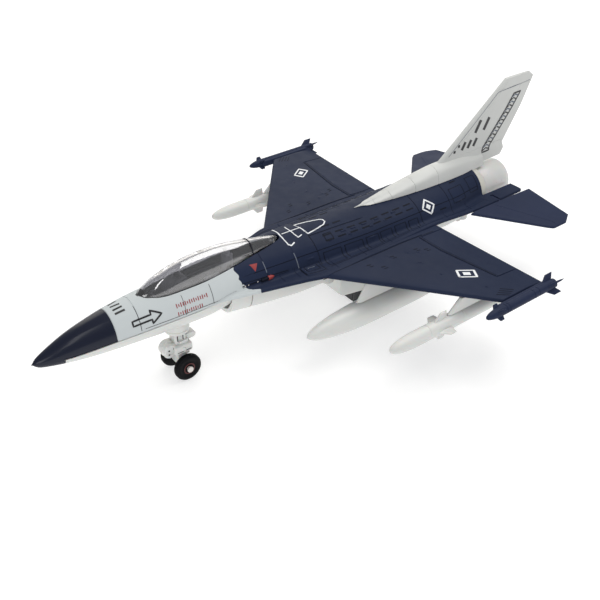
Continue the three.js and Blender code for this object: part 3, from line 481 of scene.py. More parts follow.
def combine(piece, *steps):
    """Adds, cuts or crosses a piece with others in turn, using them up."""
    for number, (operation, other) in enumerate(steps):
        modifier = piece.modifiers.new(f"step_{number}", "BOOLEAN")
        modifier.operation = operation
        modifier.solver = "MANIFOLD"
        modifier.object = other
    bpy.context.view_layer.update()
    result = bpy.data.meshes.new_from_object(piece.evaluated_get(bpy.context.evaluated_depsgraph_get()))
    piece.modifiers.clear()
    piece.data = result
    for other in {other for operation, other in steps}:
        bpy.data.objects.remove(other)
    return piece


def add(piece, *others):
    return combine(piece, *[("UNION", other) for other in others])


def cut(piece, *others):
    return combine(piece, *[("DIFFERENCE", other) for other in others])


def merge(name, *pieces):
    """Several pieces as one object, left as separate bodies."""
    bm = bmesh.new()
    for piece in pieces:
        bm.from_mesh(piece.data)
        bpy.data.objects.remove(piece)
    mesh = bpy.data.meshes.new(name)
    bm.to_mesh(mesh)
    bm.free()
    whole = bpy.data.objects.new(name, mesh)
    bpy.context.scene.collection.objects.link(whole)
    return whole


def settle(piece, material, body="airframe", nodes=(), crease=32):
    """Shades a finished piece, gives it its material and ties it to its body."""
    piece.data.shade_smooth()
    piece.data.set_sharp_from_angle(angle=math.radians(crease))
    piece.data.materials.clear()
    piece.data.materials.append(MATERIALS[material])
    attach(piece, body)
    if nodes:
        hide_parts(*nodes)
    return piece


# ---- fuselage form ----
UPPER = [
    (0, 0.5, -0.3, -0.8), (2, 1.6, 0.8, -0.8), (6, 3.05, 2.65, -0.8), (12, 4.5, 5.0, -0.6),
    (18, 5.6, 6.5, -0.2), (24.5, 6.7, 7.7, 0.3), (32, 7.5, 8.7, 0.5), (42, 8.3, 9.4, 0.7),
    (55, 8.9, 10.0, 0.7), (67, 9.5, 10.6, 0.7), (86, 11.0, 10.6, 0.7), (106, 12.5, 10.2, 0.7),
    (122, 13.2, 9.6, 0.7), (146, 13.2, 9.6, 0.5), (162, 12.3, 9.3, -0.7), (178, 9.4, 8.8, -1.6),
]
LOWER_NOSE = [
    (0, 0.5, 1.2, -0.8), (2, 1.6, 2.4, -0.8), (6, 3.05, 3.2, -0.8), (12, 4.5, 4.2, -0.6),
    (18, 5.6, 4.9, -0.2), (24.5, 6.7, 5.3, 0.3), (32, 7.5, 5.7, 0.5), (42, 8.3, 6.2, 0.7),
    (55, 8.7, 6.6, 0.7), (62, 7.9, 6.2, 0.7), (74, 6.0, 5.0, 0.7),
]
LOWER_BELLY = [
    (61, 8.0, 8.7, 0.7), (66, 8.4, 9.2, 0.7), (80, 9.6, 11.2, 0.7), (95, 10.8, 12.4, 0.7),
    (110, 11.4, 12.4, 0.7), (146, 11.3, 11.3, 0.5), (162, 10.6, 10.4, -0.7), (178, 9.4, 10.1, -1.6),
]
CHINE = [
    (40, 7.0), (43, 7.6), (56, 9.4), (70, 12.6), (87, 17.0), (94.4, 19.0), (146, 16.3), (162, 16.1),
    (178, 15.7), (194, 15.2),
]
GAP = 0.3
WALL = 1.4
SHELF = 1.4
SHELF_START = 0.16
ROUND = 1
BOXY = 0.8
NOZZLE_Z = -0.8


@functools.lru_cache(maxsize=None)
def section(y):
    """The upper body's section at y: half, top, split, low angle, shelf reach, shelf base and thickness."""
    half, top, split = follow(UPPER, y)
    reach = follow(CHINE, y)[0] - half
    shelf = smooth(reach / 2) if y > CHINE[0][0] else 0.0
    low = math.radians(3 + 13 * shelf)
    thick = mix(SHELF_START, SHELF, shelf)
    return half, top, split, low, max(half, half + reach * shelf), split + GAP / 2, thick


# The section parameter t: 0 on the spine, 1 where the round body ends, 2 at the shelf's rim, 3 under it.
EDGE = 3.0


def upper_point(y, t, lift=0.0):
    """A point of the upper body's skin, lifted off it."""
    half, top, split, low, reach, base, thick = section(y)
    side = -1 if t < 0 else 1
    t = abs(t)
    height = top - split
    radius = thick / 2
    end = (half * math.cos(low), split + height * math.sin(low))
    if t <= 1:
        angle = math.pi / 2 - t * (math.pi / 2 - low)
        x, z = half * math.cos(angle), split + height * math.sin(angle)
        nx, nz = math.cos(angle) / half, math.sin(angle) / height
    elif t <= 2:
        room = max(reach - radius - end[0], 0.02)
        knee = (end[0] + min(0.4, room * 0.3), base + thick)
        foot = (end[0] + min(1.6, room * 0.55), base + thick)
        rim = (end[0] + room, base + thick)
        if t <= 1.5:
            u = (t - 1) * 2
            x = (1 - u) ** 2 * end[0] + 2 * u * (1 - u) * knee[0] + u * u * foot[0]
            z = (1 - u) ** 2 * end[1] + 2 * u * (1 - u) * knee[1] + u * u * foot[1]
        else:
            x, z = mix(foot[0], rim[0], (t - 1.5) * 2), foot[1]
        nx, nz = (1 - smooth((t - 1) * 2)) * 0.8, 1.0
    else:
        turn = math.pi * (t - 2)
        x = max(reach - radius, end[0] + 0.02) + radius * math.sin(turn)
        z = base + radius + radius * math.cos(turn)
        nx, nz = math.sin(turn), math.cos(turn)
    if lift:
        size = math.hypot(nx, nz)
        x, z = x + lift * nx / size, z + lift * nz / size
    return (side * x, y, z)


def spot(y, x=None, z=None):
    """The section parameter of a point of the round body, from its x or its height."""
    half, top, split, low = section(y)[:4]
    if x is None:
        angle = math.asin(clamp((z - split) / (top - split)))
        return (math.pi / 2 - angle) / (math.pi / 2 - low)
    return math.copysign(math.asin(clamp(abs(x) / half)) / (math.pi / 2 - low), x)


def half_body(name, table, stations, side, power, inset, rim, steps=40):
    """Half of the body above (side 1) or below (side -1) the split line, moved in by an inset."""
    rings = []
    for y in stations:
        half, extent, split = follow(table, y)
        height = (extent - split if side > 0 else extent + split) - inset
        ring = []
        for i in range(steps + 1):
            angle = math.pi * i / steps
            c = math.cos(angle)
            x = (half - inset) * math.copysign(abs(c) ** power, c)
            ring.append((x, y, split + side * max(height * math.sin(angle) ** power, GAP / 2)))
        edge = half - inset
        foot = split + side * rim
        rings.append(ring + [(-edge, y, foot), (edge, y, foot)])
    return loft(name, rings)


def under_skin(table, x, y, power):
    """Height of the lower body's surface at a point."""
    half, extent, split = follow(table, y)
    angle = math.acos(min(1, abs(x) / half) ** (1 / power))
    return split - (extent + split) * math.sin(angle) ** power


# ---- blades: wings, tail surfaces, pylons and fins ----
def thickness_share(u, round_end=0.12, tail=0.14):
    """Half thickness at a chord fraction: a round leading edge, a flat middle and a thin trailing edge."""
    u = clamp(u)
    if u < round_end:
        return 0.5 * math.sqrt(1 - (1 - u / round_end) ** 2)
    return 0.5 if u < 0.6 else mix(0.5, tail, smooth((u - 0.6) / 0.4) * 0.5 + (u - 0.6) / 0.8)


def blade(name, spans, chords, front, back, normal, thick, carve=None, tail=0.14, round_end=0.12):
    """A thin surface from span stations; front and back give its edges, normal its facing."""
    rings = []
    for v in spans:
        a, b, n, t = Vector(front(v)), Vector(back(v)), Vector(normal), thick(v)
        upper, lower = [], []
        for u in chords:
            middle_line = a.lerp(b, u)
            half = max(t * thickness_share(u, round_end, tail), 0.01)
            dent = carve(v, u) if carve else 0.0
            upper.append(tuple(middle_line + n * (half + dent)))
            lower.append(tuple(middle_line - n * (half + dent)))
        rings.append(upper + lower[::-1])
    return loft(name, rings)


def round_tip(v, end, radius, thick):
    """Thickness near the tip of a blade, rounded off over a radius."""
    inside = clamp((end - v) / radius)
    return thick * math.sqrt(max(1 - (1 - inside) ** 2, 0.02))


CHORDS = [0, 0.004, 0.012, 0.025, 0.045, 0.07, 0.1, 0.14, 0.2, 0.3, 0.4, 0.5, 0.6, 0.7, 0.8, 0.9, 0.96, 1]


# ---- canopy form ----
# Rows of y, half width, top, height of the widest line.
GLASS = [
    (34.9, 0.6, 9.0, 8.2), (36.2, 2.6, 10.0, 7.8), (38.5, 3.7, 11.4, 7.4), (42, 4.5, 12.9, 7.2),
    (48, 4.9, 14.7, 7.2), (56, 5.2, 15.7, 7.4), (62, 5.1, 15.7, 7.7), (69.5, 4.5, 14.8, 8.4),
    (75, 3.7, 13.6, 8.8), (80, 3.0, 12.5, 9.4), (84, 2.2, 11.6, 9.8), (86, 1.3, 11.0, 10.0),
    (86.5, 0.6, 10.8, 10.0),
]
GLASS_FOOT = 5.4
GLASS_WALL = 0.7
REAR_SWING = 0.9
HINGE = {"y": 84.6, "z": 9.2, "bore": 0.7, "half": 3.0}
SILL_CLEAR = 1.3
BOW = {"y": 74.9, "width": 0.4}


@functools.lru_cache(maxsize=None)
def glass_form(y):
    """The glass's half width, top and widest height at y, averaged over a short length to smooth them."""
    reach = clamp(min(y - GLASS[0][0], GLASS[-1][0] - y), 0, 3.5)
    near = [follow(GLASS, y + reach * k / 4) for k in range(-4, 5)]
    return [sum(values) / len(near) for values in zip(*near)]


def glass_point(y, angle, grow=0.0, source=None):
    half, top, widest = glass_form(source or y)
    return ((half + grow) * math.cos(angle), y, widest + (top + grow - widest) * math.sin(angle))


def glass_loft(name, stations, grow, foot, swing=0.0, steps=48):
    rings = []
    for y in stations:
        source = y - swing if swing and y > HINGE["y"] - 8 else y
        arch = [glass_point(y, math.pi * i / steps, grow, source) for i in range(steps + 1)]
        rings.append([(arch[0][0], y, foot)] + arch + [(arch[-1][0], y, foot)])
    return loft(name, rings)


def canopy_opening():
    return glass_loft("canopy_space", stops(34.6, 87.5, 1.2, (34.9, 35.3, 36.2, 86.6)), GAP, 2.5, REAR_SWING)


def canopy():
    fine = stops(34.9, 86.5, 0.8, (35.0, 35.2, 35.5, 35.9, 36.3, 37, 85.4, 86.1, 86.4))
    glass = glass_loft("canopy_glass", fine, 0, GLASS_FOOT)
    room = glass_loft("canopy_room", stops(37, 84.6, 0.8), -GLASS_WALL, GLASS_FOOT - 1)
    cut(glass, room, post("bore", HINGE["bore"], HINGE["y"], HINGE["z"], -6, 6, axis="x"))
    settle(glass, "smoked_canopy", "canopy", ["canopy"], 30)
    frame_piece = merge("canopy_frame", canopy_band(**BOW), canopy_sill(1), canopy_sill(-1))
    settle(frame_piece, "navy_print_and_shade", "canopy")


def canopy_band(y, width):
    """A frame bow across the glass."""
    points = []
    for i in range(41):
        angle = math.pi * i / 40
        for dy, grow in ((-width / 2, 0.02), (-width / 3, 0.2), (width / 3, 0.2), (width / 2, 0.02),
                         (0, -0.2)):
            points.append(glass_point(y + dy, angle, grow))
    return build("bow", points, tube_faces(41, 5))


def canopy_sill(side):
    """The strip along the foot of the glass, ending clear of the hinge pin."""
    rings = []
    for y in stops(35.2, HINGE["y"] - SILL_CLEAR, 1.0):
        half, widest = glass_form(y)[::2]
        low = max(GLASS_FOOT + 0.1, widest - 2.2)
        x, high = half * side, widest + 0.5 * smooth((y - 35) / 3)
        rings.append([(x - side * 0.3, y, low), (x + side * 0.12, y, low), (x + side * 0.14, y, high),
                      (x - side * 0.05, y, high + 0.1), (x - side * 0.3, y, high)])
    return loft("sill", rings)


# ---- upper casting ----
def groove(y, wide=0.36, t0=-1.0, t1=1.0, deep=0.13):
    return (y - wide / 2, y + wide / 2, t0, t1, -deep, wide * 0.3, 0.02)


def seam(t, y0, y1, wide=0.03, deep=0.13):
    """A lengthwise groove along both sides."""
    return [(y0, y1, s * t - wide / 2, s * t + wide / 2, -deep, 0.3, wide * 0.3) for s in (-1, 1)]


def vent(y, t, length=2.2, wide=0.06, high=0.22):
    """A small raised bar on both sides."""
    return [(y - length / 2, y + length / 2, s * t - wide / 2, s * t + wide / 2, high, 0.3, wide * 0.25)
            for s in (-1, 1)]


RINGS = [31.8, 76.3, 96.4, 142.4, 158.0]
BODY_RELIEF = [groove(RADOME_LINE)] + [groove(y) for y in RINGS]
BODY_RELIEF += [groove(87.8, 0.5, deep=0.1), *seam(0.77, 67.7, 178), *seam(0.34, 96.5, 120)]
BODY_RELIEF += seam(1.72, 90, 176, 0.06)
BODY_RELIEF += [box for y in (109.2, 113.4, 118.2, 124.0, 132.0) for box in vent(y, 0.5)]
BODY_RELIEF += [box for y in (103.0, 111.0, 120.5, 127.0) for box in vent(y, 0.62, 1.6, 0.05, 0.18)]
BODY_RELIEF += [box for y in (93.0, 119.0, 148.0, 163.0) for box in vent(y, 0.9, 3.0, 0.07, 0.16)]
BODY_RELIEF += [(88.2, 95.5, t, t + 0.7, 0.35, 0.3, 0.05) for t in (1.2, -1.9)]
BODY_RELIEF += [groove(y, 0.34, s * 1.5 - 0.45, s * 1.5 + 0.45) for y in (99.5, 112, 124.5, 139, 153, 166)
                for s in (-1, 1)]
BODY_RELIEF += [groove(y, 0.34, s * 1.4 - 0.4, s * 1.4 + 0.4) for y in (80.5, 86.0) for s in (-1, 1)]


def skin(y, t, lift=0.0):
    return upper_point(y, t, lift + relief(BODY_RELIEF, y, t))


def body_loft():
    rows = stops(8.5, 178.1, 1.6, marks_along(BODY_RELIEF, 0, 1, 5))
    marks = [abs(m) for m in marks_along(BODY_RELIEF, 2, 3, 6)]
    columns = sorted({round(m, 4) for m in stops(0, EDGE, 0.07, marks)})
    columns = [c for c, after in zip(columns, columns[1:] + [9]) if after - c > 0.004]
    sweep = columns[::-1] + [-c for c in columns[1:]]
    return loft("upper_body", [[skin(y, t) for t in sweep] for y in rows])


def nose_tip():
    rings = []
    for y in (0, 0.12, 0.4, 0.9, 1.6, 2.4, 3.4, 4.6, 6, 7.3, 8.6):
        half, top, split = follow(UPPER, y)
        depth = follow(LOWER_NOSE, y)[1]
        ring = []
        for i in range(64):
            angle = 2 * math.pi * i / 64
            height = top - split if math.sin(angle) > 0 else depth + split
            blunt = 0.3 + 0.7 * smooth(y / 0.9)
            ring.append((half * blunt * math.cos(angle), y, split + height * blunt * math.sin(angle)))
        rings.append(ring)
    return loft("nose_tip", rings)


def shelf_tail():
    """The two flat edges beside the nozzle, as one slab that the nozzle's room is cut from."""
    rings = []
    for y in stops(176, 194.5, 1.5, (194.0, 194.3)):
        reach = follow(CHINE, y)[0] - 0.5 * clamp(y - 194)
        base = follow(UPPER, y)[2] + GAP / 2
        ring = []
        for i in range(13):
            turn = math.pi * i / 12 - math.pi / 2
            ring.append((reach - 0.7 + 0.7 * math.cos(turn), y, base + 0.7 + 0.7 * math.sin(turn)))
        rings.append(ring + [(-x, y, z) for x, y, z in ring[::-1]])
    return loft("shelf_tail", rings)


WING = {"root": 8.0, "tip": 62.6, "front": (85.4, 129.8), "back": (145.6, 148.1), "z": (1.0, 0.8),
        "thick": (2.4, 1.5)}


def wing_share(x):
    return (x - WING["root"]) / (WING["tip"] - WING["root"])


def wing_edge(x, which):
    return mix(*WING[which], wing_share(x))


def flap_line(x):
    """Where the flap hinge crosses a span station."""
    return 134.5 + 0.15 * max(0.0, x - 30)


def wing_chord(x, u):
    """y of a chord parameter that is 0 at the front edge, 1 at the flap hinge and 2 at the back edge."""
    hinge = flap_line(x)
    return mix(wing_edge(x, "front"), hinge, u) if u < 1 else mix(hinge, wing_edge(x, "back"), u - 1)


# Relief on the wings: x from, x to, chord from, chord to, height, ramp along x, ramp along the chord.
WING_RELIEF = [
    (19.4, 52.6, 0.99, 1.01, -0.18, 0.2, 0.006), (19.4, 52.6, 1.08, 1.10, -0.16, 0.2, 0.008),
    (19.2, 19.6, 1.0, 2.0, -0.25, 0.1, 0.01), (52.4, 52.8, 1.0, 2.0, -0.25, 0.1, 0.01),
    (18.2, 18.7, 0.25, 1.2, -0.22, 0.12, 0.02),
]
WING_STUDS = ((22.4, 0.53), (24, 0.7), (26, 0.78), (31, 0.62), (40, 0.5), (44, 0.66), (54, 0.5))
WING_RELIEF += [(x, x + 1.1, u, u + 0.018, 0.16, 0.3, 0.005) for x, u in WING_STUDS]


def wing_half(x, u):
    """Half the wing's thickness with its relief."""
    y = wing_chord(x, u)
    chord = (y - wing_edge(x, "front")) / (wing_edge(x, "back") - wing_edge(x, "front"))
    thick = mix(*WING["thick"], wing_share(x))
    tip = round_tip(x, WING["tip"], 0.5, thick)
    return max(tip * thickness_share(chord, 0.05) + relief(WING_RELIEF, x, u), 0.05)


def wing_top(x, y, lift=0.0):
    """A point on top of the wing at a plan position."""
    hinge = flap_line(abs(x))
    front, back = wing_edge(abs(x), "front"), wing_edge(abs(x), "back")
    u = (y - front) / (hinge - front) if y < hinge else 1 + (y - hinge) / (back - hinge)
    return (x, y, mix(*WING["z"], wing_share(abs(x))) + wing_half(abs(x), u) + lift)


def wing(side):
    spans = stops(WING["root"], WING["tip"], 1.6, marks_along(WING_RELIEF, 0, 1, 5) + [62.1, 62.3, 62.5])
    chords = stops(0, 2, 0.06, marks_along(WING_RELIEF, 2, 3, 6) + [0.004, 0.012, 0.025, 0.04])
    rings = []
    for x in spans:
        z = mix(*WING["z"], wing_share(x))
        rows = [(wing_chord(x, u), wing_half(x, u)) for u in chords]
        top = [(side * x, y, z + h) for y, h in rows]
        rings.append(top + [(side * x, y, z - h) for y, h in rows[::-1]])
    return loft("wing", rings)


BODY_SCREWS = {"front": (0, 30, -4.6), "mid_left": (7.6, 102.5, -6.2), "mid_right": (-7.6, 102.5, -6.2),
               "rear_left": (7.2, 169.5, -6.0), "rear_right": (-7.2, 169.5, -6.0)}
SCREW = {"head": 1.7, "head_height": 1.0, "boss": 2.4, "pilot": 1.1}
STAB_PIN = {"y": 181, "size": 0.8, "inner": 11.6}
STAB_ROOT = 16.4
STAB_Z = follow(UPPER, STAB_PIN["y"])[2] + GAP / 2 + SHELF / 2


FIN_TABS = (140, 166)


def lamp_hole():
    return post("lamp_hole", 3.3, 0, NOZZLE_Z, 175, 179, axis="y")


def upper_casting():
    piece = add(body_loft(), nose_tip(), shelf_tail(), wing(1), wing(-1))
    inside = half_body("inside", UPPER, stops(10.1, 176.5, 4), 1, ROUND, WALL, -3)
    belly = half_body("belly_room", LOWER_BELLY, stops(71, 178.4, 3), -1, BOXY, -GAP, -GAP / 2)
    cut(piece, inside, belly, canopy_opening())
    cut(piece, post("pin_hole", HINGE["bore"], HINGE["y"], HINGE["z"], -3.5, 3.5, axis="x"),
        post("nozzle_room", 9.4, 0, NOZZLE_Z, 178.1, 198.1, axis="y", sides=96), lamp_hole())
    slot = STAB_PIN["size"] + 2 * GAP
    cut(piece, *[block("pin_slot", (side * 14.3, STAB_PIN["y"], STAB_Z), (6, slot, SHELF + 1))
                 for side in (-1, 1)])
    cut(piece, *[block("fin_slot", (0, y, 9), (2.2, 5.6, 6)) for y in FIN_TABS])
    settle(piece, "body_paint", nodes=["upper_shell"], crease=28)


# ---- lower shell ----
LEG = {"y": 46.9, "disc": 4.0, "top": -8.5, "thick": 1.2, "post": 1.7}
HOUSING = {"half": 9.8, "front": 107, "back": 146, "floor": -20.3, "wall": 1.2}
MOTOR = {"left": 5.6, "right": -7.0, "front": 116.2, "back": 136.3}
BUTTON = {"y": 172.4, "radius": 2.6}
SPEAKER = {"y": 92, "bottom": -7.6, "seat": 4.7}
COVER = {"y": 156.3, "length": 17.6, "half": 6.8, "tab_half": 2.6, "tab_end": 169.0, "rib": 167.2}
COVER_SCREW = {"seat": -10.0, "head": 1.3, "head_height": 0.7, "shank": 0.6}
BELLY_LOW = 71


def housing(name, inset, bevel=0.0):
    front, back, floor = HOUSING["front"], HOUSING["back"], HOUSING["floor"]
    outline = [(front + inset, -6), (front + inset, -16.8 + inset), (front + 1.4 + inset, -18 + inset),
               (front + 16, floor + inset), (back - 8, floor + inset), (back - inset, -10.2),
               (back - inset, -6)]
    half = HOUSING["half"] - inset
    return slab(name, outline, -half, half, bevel)


def cover_block(name, gap):
    plate = block(name, (0, COVER["y"], -10), (2 * (COVER["half"] - gap), COVER["length"] - 2 * gap, 7))
    tab_length = COVER["tab_end"] - COVER["y"] - gap
    tab = block("tab", (0, COVER["y"] + tab_length / 2, -10), (2 * (COVER["tab_half"] - gap), tab_length, 7))
    return add(plate, tab)


def belly_skin(name):
    return half_body(name, LOWER_BELLY, stops(BELLY_LOW, 178, 1.5), -1, BOXY, 0, GAP / 2, 64)


def belly_room(name):
    return half_body(name, LOWER_BELLY, stops(73, 176.5, 3), -1, BOXY, WALL, -1, 48)


def lower_shell():
    nose = half_body("lower_nose", LOWER_NOSE, stops(8.9, 72.8, 1.5), -1, ROUND, 0, GAP / 2, 64)
    piece = add(nose, belly_skin("belly"), housing("housing", 0, 0.8))
    add(piece, post("leg_pad", LEG["disc"] + 0.2, 0, LEG["y"], LEG["top"] + GAP, -5.2))
    cut(piece, belly_room("belly_inside"), housing("housing_room", HOUSING["wall"]),
        half_body("nose_inside", LOWER_NOSE, stops(10.5, 72.2, 3), -1, ROUND, WALL, -1),
        post("leg_hole", LEG["post"] + GAP, 0, LEG["y"], -10, 0),
        block("motor_hole", ((MOTOR["left"] + MOTOR["right"]) / 2 + 0.5, (MOTOR["front"] + MOTOR["back"]) / 2,
                             HOUSING["floor"]),
              (MOTOR["left"] - MOTOR["right"] + 2.8, MOTOR["back"] - MOTOR["front"] + 2 * GAP, 6)),
        cover_block("cover_room", 0))
    add(piece, block("rib", (0, COVER["rib"], -6.6), (17, 1.4, 3.2)),
        post("rib_post", 1.6, 0, COVER["rib"], -8.2, -5))
    cut(piece, post("rib_hole", COVER_SCREW["shank"] + GAP, 0, COVER["rib"], -9, -5.6),
        block("intake_slot", (0, 72.2, -7.8), (10, 4, 1.8)),
        post("button_hole", BUTTON["radius"] + 0.4, 0, BUTTON["y"], -12, -7), lamp_hole())
    add(piece, post("speaker_seat", SPEAKER["seat"], 0, SPEAKER["y"], -10.6, SPEAKER["bottom"] - GAP))
    cut(piece, post("speaker_room", SPEAKER["seat"] - 0.8, 0, SPEAKER["y"], -9.9, -7))
    cut(piece, *[block("grille", (0, SPEAKER["y"] + y, -11.5), (8, 0.9, 5)) for y in (-4, -2, 0, 2, 4)])
    for x, y, seat in BODY_SCREWS.values():
        table, power = (LOWER_NOSE, ROUND) if y < LEG["y"] else (LOWER_BELLY, BOXY)
        bottom = under_skin(table, x, y, power)
        top = follow(UPPER, y)[2] - GAP
        add(piece, post("boss", SCREW["boss"], x, y, bottom + 0.6, top))
        cut(piece, post("pilot", SCREW["pilot"], x, y, bottom - 2, top + 1),
            post("recess", SCREW["head"] + GAP, x, y, bottom - 2, seat + SCREW["head_height"] + GAP))
    settle(piece, "white_plastic", nodes=["lower_shell"], crease=30)


def battery_cover():
    piece = cut(belly_skin("battery_door"), belly_room("cover_inside"))
    combine(piece, ("INTERSECT", cover_block("cover_outline", GAP)))
    cut(piece, post("recess", COVER_SCREW["head"] + GAP, 0, COVER["rib"], -12,
                    COVER_SCREW["seat"] + COVER_SCREW["head_height"]),
        post("hole", COVER_SCREW["shank"] + GAP, 0, COVER["rib"], -12, -6))
    cut(piece, *[block("grip", (0, 149.2 + 0.9 * i, -11.6), (6, 0.4, 1.2)) for i in range(4)])
    settle(piece, "white_plastic", nodes=["battery_cover"])


def intake():
    lip = half_body("intake_mouth", LOWER_BELLY, stops(63.5, 70.7, 0.8), -1, BOXY, 0, GAP / 2, 64)
    duct = half_body("duct", LOWER_BELLY, stops(60, 72, 1.5), -1, BOXY, 1.3, -1, 64)
    nose = half_body("lip_room", LOWER_NOSE, stops(58, 72.8, 2), -1, ROUND, -GAP, -1, 48)
    piece = cut(lip, duct, nose)
    rounded(piece, 0.12, 2)
    settle(piece, "white_plastic", nodes=["intake_lip"])


# ---- tail ----
SPINE = [(119.8, 0.5, 9.9), (124, 1.5, 10.4), (131, 2.4, 11.2), (140, 3.2, 12.6), (152, 3.7, 14.2),
         (161.5, 3.6, 15.2), (172, 3.0, 14.8), (184.8, 2.0, 13.0)]
SPINE_LOW = 7.6
SPINE_RINGS = (128.5, 135.8, 146.7, 158.2)
RING_REACH = 0.22
FIN_FOOT = 8.9
FIN_TOP = 41.2
FIN_FRONT = [(FIN_FOOT, 160), (13.0, 160.2), (15.4, 161.5), (FIN_TOP, 194.6)]
FIN_BACK = [(FIN_FOOT, 196.2), (9.4, 196.8), (11.6, 198.0), (14.4, 196.8), (28.1, 205.4), (38.9, 210.5),
            (FIN_TOP, 207.6)]
FIN_THICK = [(FIN_FOOT, 2.0), (FIN_TOP, 1.4)]
FIN_RELIEF = [(15.5, 37.2, 0.7, 0.712, -0.16, 0.2, 0.004), (36.9, 37.3, 0.03, 0.99, -0.13, 0.12, 0.01),
              (15.3, 15.7, 0.3, 0.99, -0.14, 0.12, 0.01), (17, 40, 0.16, 0.172, -0.1, 0.2, 0.004)]


def spine_section(y):
    """Points of the spine's section from one foot over the top to the other."""
    half, top = follow(SPINE, y)
    shoulder = top * 0.7 + SPINE_LOW * 0.3
    side = [(0.0, 1.25 * half, SPINE_LOW), (1.0, half, shoulder), (2.0, 0.45 * half, top - 0.5),
            (2.6, 0.15 * half, top - 0.06), (3.0, 0.0, top)]
    fine = [follow(side, i * 0.15) for i in range(20)]
    dent = -0.12 * max(clamp(1 - abs(y - ring) / RING_REACH) for ring in SPINE_RINGS)
    right = [(x * (1 + dent / max(half, 0.5)), y, z + dent * (z > 9)) for x, z in fine]
    return right + [(0, y, top + dent)] + [(-x, y, z) for x, y, z in right[::-1]]


def fin_side(y, z, lift=0.0, side=1):
    """A point on the fin's side face."""
    front, back = along(FIN_FRONT, z), along(FIN_BACK, z)
    u = (y - front) / (back - front)
    half = along(FIN_THICK, z) * thickness_share(clamp(u, 0.01, 1), 0.06, 0.25) + relief(FIN_RELIEF, z, u)
    return (side * (half + lift), y, z)


def tail_fin():
    marks = [v for y in SPINE_RINGS for v in (y - RING_REACH, y, y + RING_REACH)]
    spine = loft("fin_and_spine", [spine_section(y) for y in stops(SPINE[0][0], SPINE[-1][0], 1.5, marks)])
    marks = marks_along(FIN_RELIEF, 0, 1, 5) + [z for z, y in FIN_BACK[1:-1]] + [FIN_TOP - 0.3, FIN_TOP - 0.1]
    heights = stops(FIN_FOOT, FIN_TOP, 1.2, marks)
    chords = sorted(set(CHORDS + marks_along(FIN_RELIEF, 2, 3, 6)))
    fin = blade("fin", heights, chords, lambda z: (0, along(FIN_FRONT, z), z),
                lambda z: (0, along(FIN_BACK, z), z), (1, 0, 0),
                lambda z: round_tip(z, FIN_TOP, 0.5, along(FIN_THICK, z)),
                lambda z, u: relief(FIN_RELIEF, z, u), 0.25, 0.06)
    piece = add(spine, fin)
    cut(piece, half_body("body_room", UPPER, stops(100, 178, 3), 1, ROUND, -GAP, 0),
        post("nozzle_room", 9.3, 0, NOZZLE_Z, 177.9, 185.9, axis="y", sides=96))
    add(piece, *[block("tab", (0, y, 9.1), (1.6, 5, 3.4)) for y in FIN_TABS])
    settle(piece, "fin_paint", nodes=["tail_fin"], crease=28)


STAB = {"droop": 0.16, "thick": (1.7, 1.1), "span": 22.2}
STAB_FRONT = [(0, 164.4), (20.4, 184.6), (STAB["span"], 187.0)]
STAB_BACK = [(0, 197.2), (19.4, 198.0), (STAB["span"], 193.4)]
STAB_RELIEF = [(0.6, 21, 0.34, 0.352, -0.09, 0.2, 0.006)]


def stabilator(side, label):
    def place(v, y):
        return (side * (STAB_ROOT + v * math.cos(STAB["droop"])), y, STAB_Z - v * math.sin(STAB["droop"]))
    span = STAB["span"]
    spans = stops(0, span, 1.2, marks_along(STAB_RELIEF, 0, 1, 5) + [19.4, 20.4, 21.7, 22.0, 22.15])
    chords = sorted(set(CHORDS + marks_along(STAB_RELIEF, 2, 3, 6)))
    piece = blade(f"tailplane_{label}", spans, chords, lambda v: place(v, along(STAB_FRONT, v)),
                  lambda v: place(v, along(STAB_BACK, v)),
                  (side * math.sin(STAB["droop"]), 0, math.cos(STAB["droop"])),
                  lambda v: round_tip(v, span, 0.6, mix(*STAB["thick"], v / span)),
                  lambda v, u: relief(STAB_RELIEF, v, u), 0.3, 0.07)
    reach = STAB_ROOT + 1 - STAB_PIN["inner"]
    add(piece, block("pin", (side * (STAB_PIN["inner"] + reach / 2), STAB_PIN["y"], STAB_Z),
                     (reach, STAB_PIN["size"], STAB_PIN["size"])))
    settle(piece, "navy_plastic", nodes=[f"stabilator_{label}"], crease=28)


NOZZLE = {"front": 181.5, "back": 195.8, "radius": 8.1, "throat": 6.6}


def nozzle():
    front, back, radius = NOZZLE["front"], NOZZLE["back"], NOZZLE["radius"]
    profile = [(front, NOZZLE["throat"]), (front, radius - 0.2), (front + 0.3, radius), (front + 5.4, radius),
               (front + 8, radius - 0.06), (front + 10, radius - 0.18), (front + 12, radius - 0.34),
               (back - 0.5, radius - 0.55),
               (back - 0.1, radius - 0.75), (back, radius - 0.95), (back, radius - 1.45),
               (back - 0.3, radius - 1.6), (front + 8, NOZZLE["throat"] - 0.1)]
    piece = hollow("exhaust_nozzle", profile, (0, 0, NOZZLE_Z), "y", 96)
    settle(piece, "milky_plastic", nodes=["nozzle"], crease=35)
    ring = hollow("exhaust_collar", [(178.3, 6.2), (178.3, 8.95), (178.45, 9.1), (180.4, 9.1), (180.6, 9.0),
                                     (181.1, 8.7), (181.2, 8.55), (181.2, 6.2)], (0, 0, NOZZLE_Z), "y", 96)
    settle(ring, "cream_plastic", nodes=["nozzle_ring"], crease=35)


# ---- stores ----
TANK = {"x": 26.4, "z": -12.4, "front": 79.5, "back": 152, "radius": 4.5}
STORE = {"x": 51.5, "z": -8.1, "front": 92.4, "back": 149, "radius": 2.6}
RAIL = {"x": RAIL_X, "z": RAIL_LIFT, "front": 119.5, "back": 151.8, "radius": 1.6}


